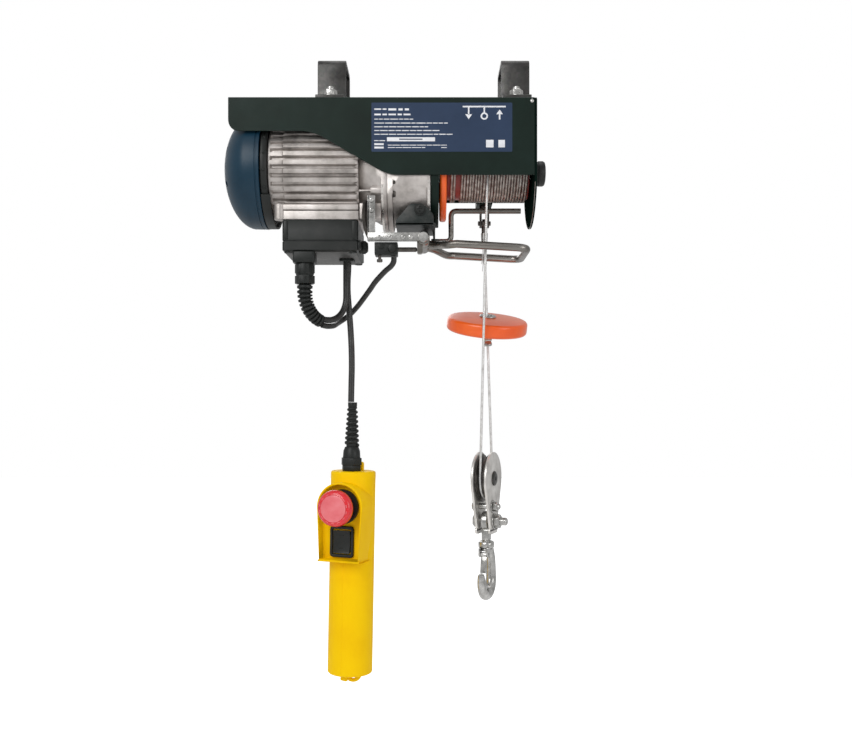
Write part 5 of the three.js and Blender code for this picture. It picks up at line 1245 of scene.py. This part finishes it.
faces = [[k * n + i, k * n + (i + 1) % n, ((k + 1) % 5) * n + (i + 1) % n, ((k + 1) % 5) * n + i] for k in range(5)
         for i in range(n)]
piece("rocker_frame", onPendant((vertices, faces)), "blackMoulding", "frame", bevel=0.25)


def rockerKey():
    side = smoothPath([(-32.0, 0, -64.6), (-31.2, 0, -68), (-30.2, 0, rockerZ), (-31.2, 0, -87), (-32.0, 0, -90.4)],
                      6)
    line = [(p.x, p.z) for p in side] + [(-19.4, -87.0), (-19.4, -68.0)]
    key = prism(line, -10.1, 10.1, "yz")
    marks = [prism(rounded([(-2.4, z - 0.6), (2.4, z - 0.6), (2.4, z + 0.6), (-2.4, z + 0.6)], 1), -31.5, -30.4, "xz")
             for z in (-70.5, -84.5)]
    return join(key, *marks)


piece("rocker_switch_key", onPendant(rockerKey()), "blackMoulding", "rocker_key", ["rocker_key"],
      bevel=0.5, crease=40)


def pendantGland():
    nut = join(moved(hexHead(11.4, 6.6), z=0.2), moved(hexHead(12.4, 8.2), z=6.8))
    shell = lathe([(-2.4, 0), (-2.4, 7.9), (0.2, 8.6), (14.8, 9.9), (16.2, 9.9), (23, 9.4), (27.5, 7.6), (27.5, 0)],
                  44)
    core = lathe([(26, 0), (26, 6.4), (70, 4.3), (74, 5.2), (78, 5.2), (78, 0)], 32)
    turns, last = 8, 8 * 26
    coil = []
    for i in range(last + 1):
        t = i / last
        a = 2 * math.pi * turns * t
        coil.append(((6.3 - 1.8 * t) * math.cos(a), (6.3 - 1.8 * t) * math.sin(a), 29 + 43 * t))
    spiral = tube(coil, [2.3 - 0.75 * i / last for i in range(last + 1)], 10)
    return moved(join(nut, shell, core, spiral), 0, -6)


piece("pendant_spiral_relief", onPendant(pendantGland()), "blackMoulding", "frame", ["pendant_gland"],
      bevel=0.3, crease=50)
print("pendant made")

# Rating label on the front panel. Its print is rows of whole plain bars and a plain hoist sign.
label = {"x": (-55.6, 95.1), "z": (-60, -7.5), "y": -57.5}


def flat(x0, x1, z0, z1, lift=0.12, base=0.22):
    return box(x0, x1, label["y"] - base - lift, label["y"] - base + 0.02, z0, z1)


piece("rating_label_film", prism(rounded([(label["x"][0], label["z"][0], 1.2), (label["x"][1], label["z"][0], 1.2),
                                          (label["x"][1], label["z"][1], 1.2), (label["x"][0], label["z"][1], 1.2)],
                                          4),
                                 label["y"] - 0.24, label["y"] + 0.05, "xz"), "labelFilm", "frame")
random.seed(7)
bars = []
for z, high, x0, x1, gapEvery in [(-14.5, 2.0, -52.5, -39.5, 4), (-14.8, 3.2, -37.5, -15.5, 3.4),
                                  (-20.2, 2.5, -52.5, -13.5, 3.6),
                                  (-25.2, 1.3, -52.5, -11, 3), (-29.4, 1.3, -52.5, 26, 3.4),
                                  (-33.4, 1.3, -52.5, 5, 3.2),
                                  (-37.4, 1.3, -52.5, 17, 3.2), (-41.4, 1.3, -52.5, 31, 3.4),
                                  (-48.2, 1.2, -52.5, -41, 3),
                                  (-53.0, 1.0, -38, 25, 3.2), (-55.6, 1.0, -38, 2, 3.2), (-55.6, 1.0, 19, 25, 3)]:
    x = x0
    while x < x1:
        step = min(random.uniform(gapEvery * 1.2, gapEvery * 3.2), x1 - x)
        bars.append(flat(x, x + step, z - high * 0.34, z + high * 0.34))
        x += step + high * 0.7
bars.append(flat(-39, 12.4, -48.9, -44.6))
for low in (-56.6, -53.0):  # two plain blocks
    bars.append(flat(-52.5, -42.5, low, low + 2.0))
bars += [flat(67.0, 75.0, -55.4, -47.4), flat(80.2, 87.2, -55.4, -47.4)]  # two plain squares
# a plain hoist sign: a beam, a rope, a hook and two arrows
bars += [flat(42, 88, -12.6, -11.0), flat(47.6, 49.2, -20.5, -12.6), flat(64.3, 65.9, -18.2, -12.6)]
bars.append(moved(turned(lathe([(0, 2.3), (0, 3.9), (0.12, 3.9), (0.12, 2.3)], 36, True), 90, "X"), 65.1,
                  label["y"] - 0.24, -21.9))
for x, way in [(48.4, -1), (81.5, 1)]:
    tip = [(x - 3.6, -20), (x + 3.6, -20), (x, -20 + 5.2 * way)]
    bars.append(prism(tip, label["y"] - 0.34, label["y"] - 0.2, "xz"))
bars.append(flat(80.7, 82.3, -25.6, -20))
piece("rating_label_print", join(*bars), "labelPrint", "frame")
piece("rating_label_number_box", flat(-26, -1, -47.3, -46.1, 0.2), "labelFilm", "frame")
piece("panel_rivet", moved(turned(lathe([(0, 0), (0, 1.9), (0.5, 1.9), (1.2, 1.0), (1.3, 0)], 24), 90, "X"), 116.2,
                           -57.5, -5.5),
      "brightZinc", "frame")
print("label made")

# What the casings hold keeps the frame's own shapes, with a finish for each
inside = {"blackMoulding": ["fan", "brake_disc"],
          "brightZinc": ["capacitor"], "copperWire": ["stator_core", "brake_coil"]}
for name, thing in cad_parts.items():
    finish = next((f for f, names in inside.items() if name in names), "machinedAluminium")
    for slot in thing.material_slots:
        slot.material = finishes[finish]
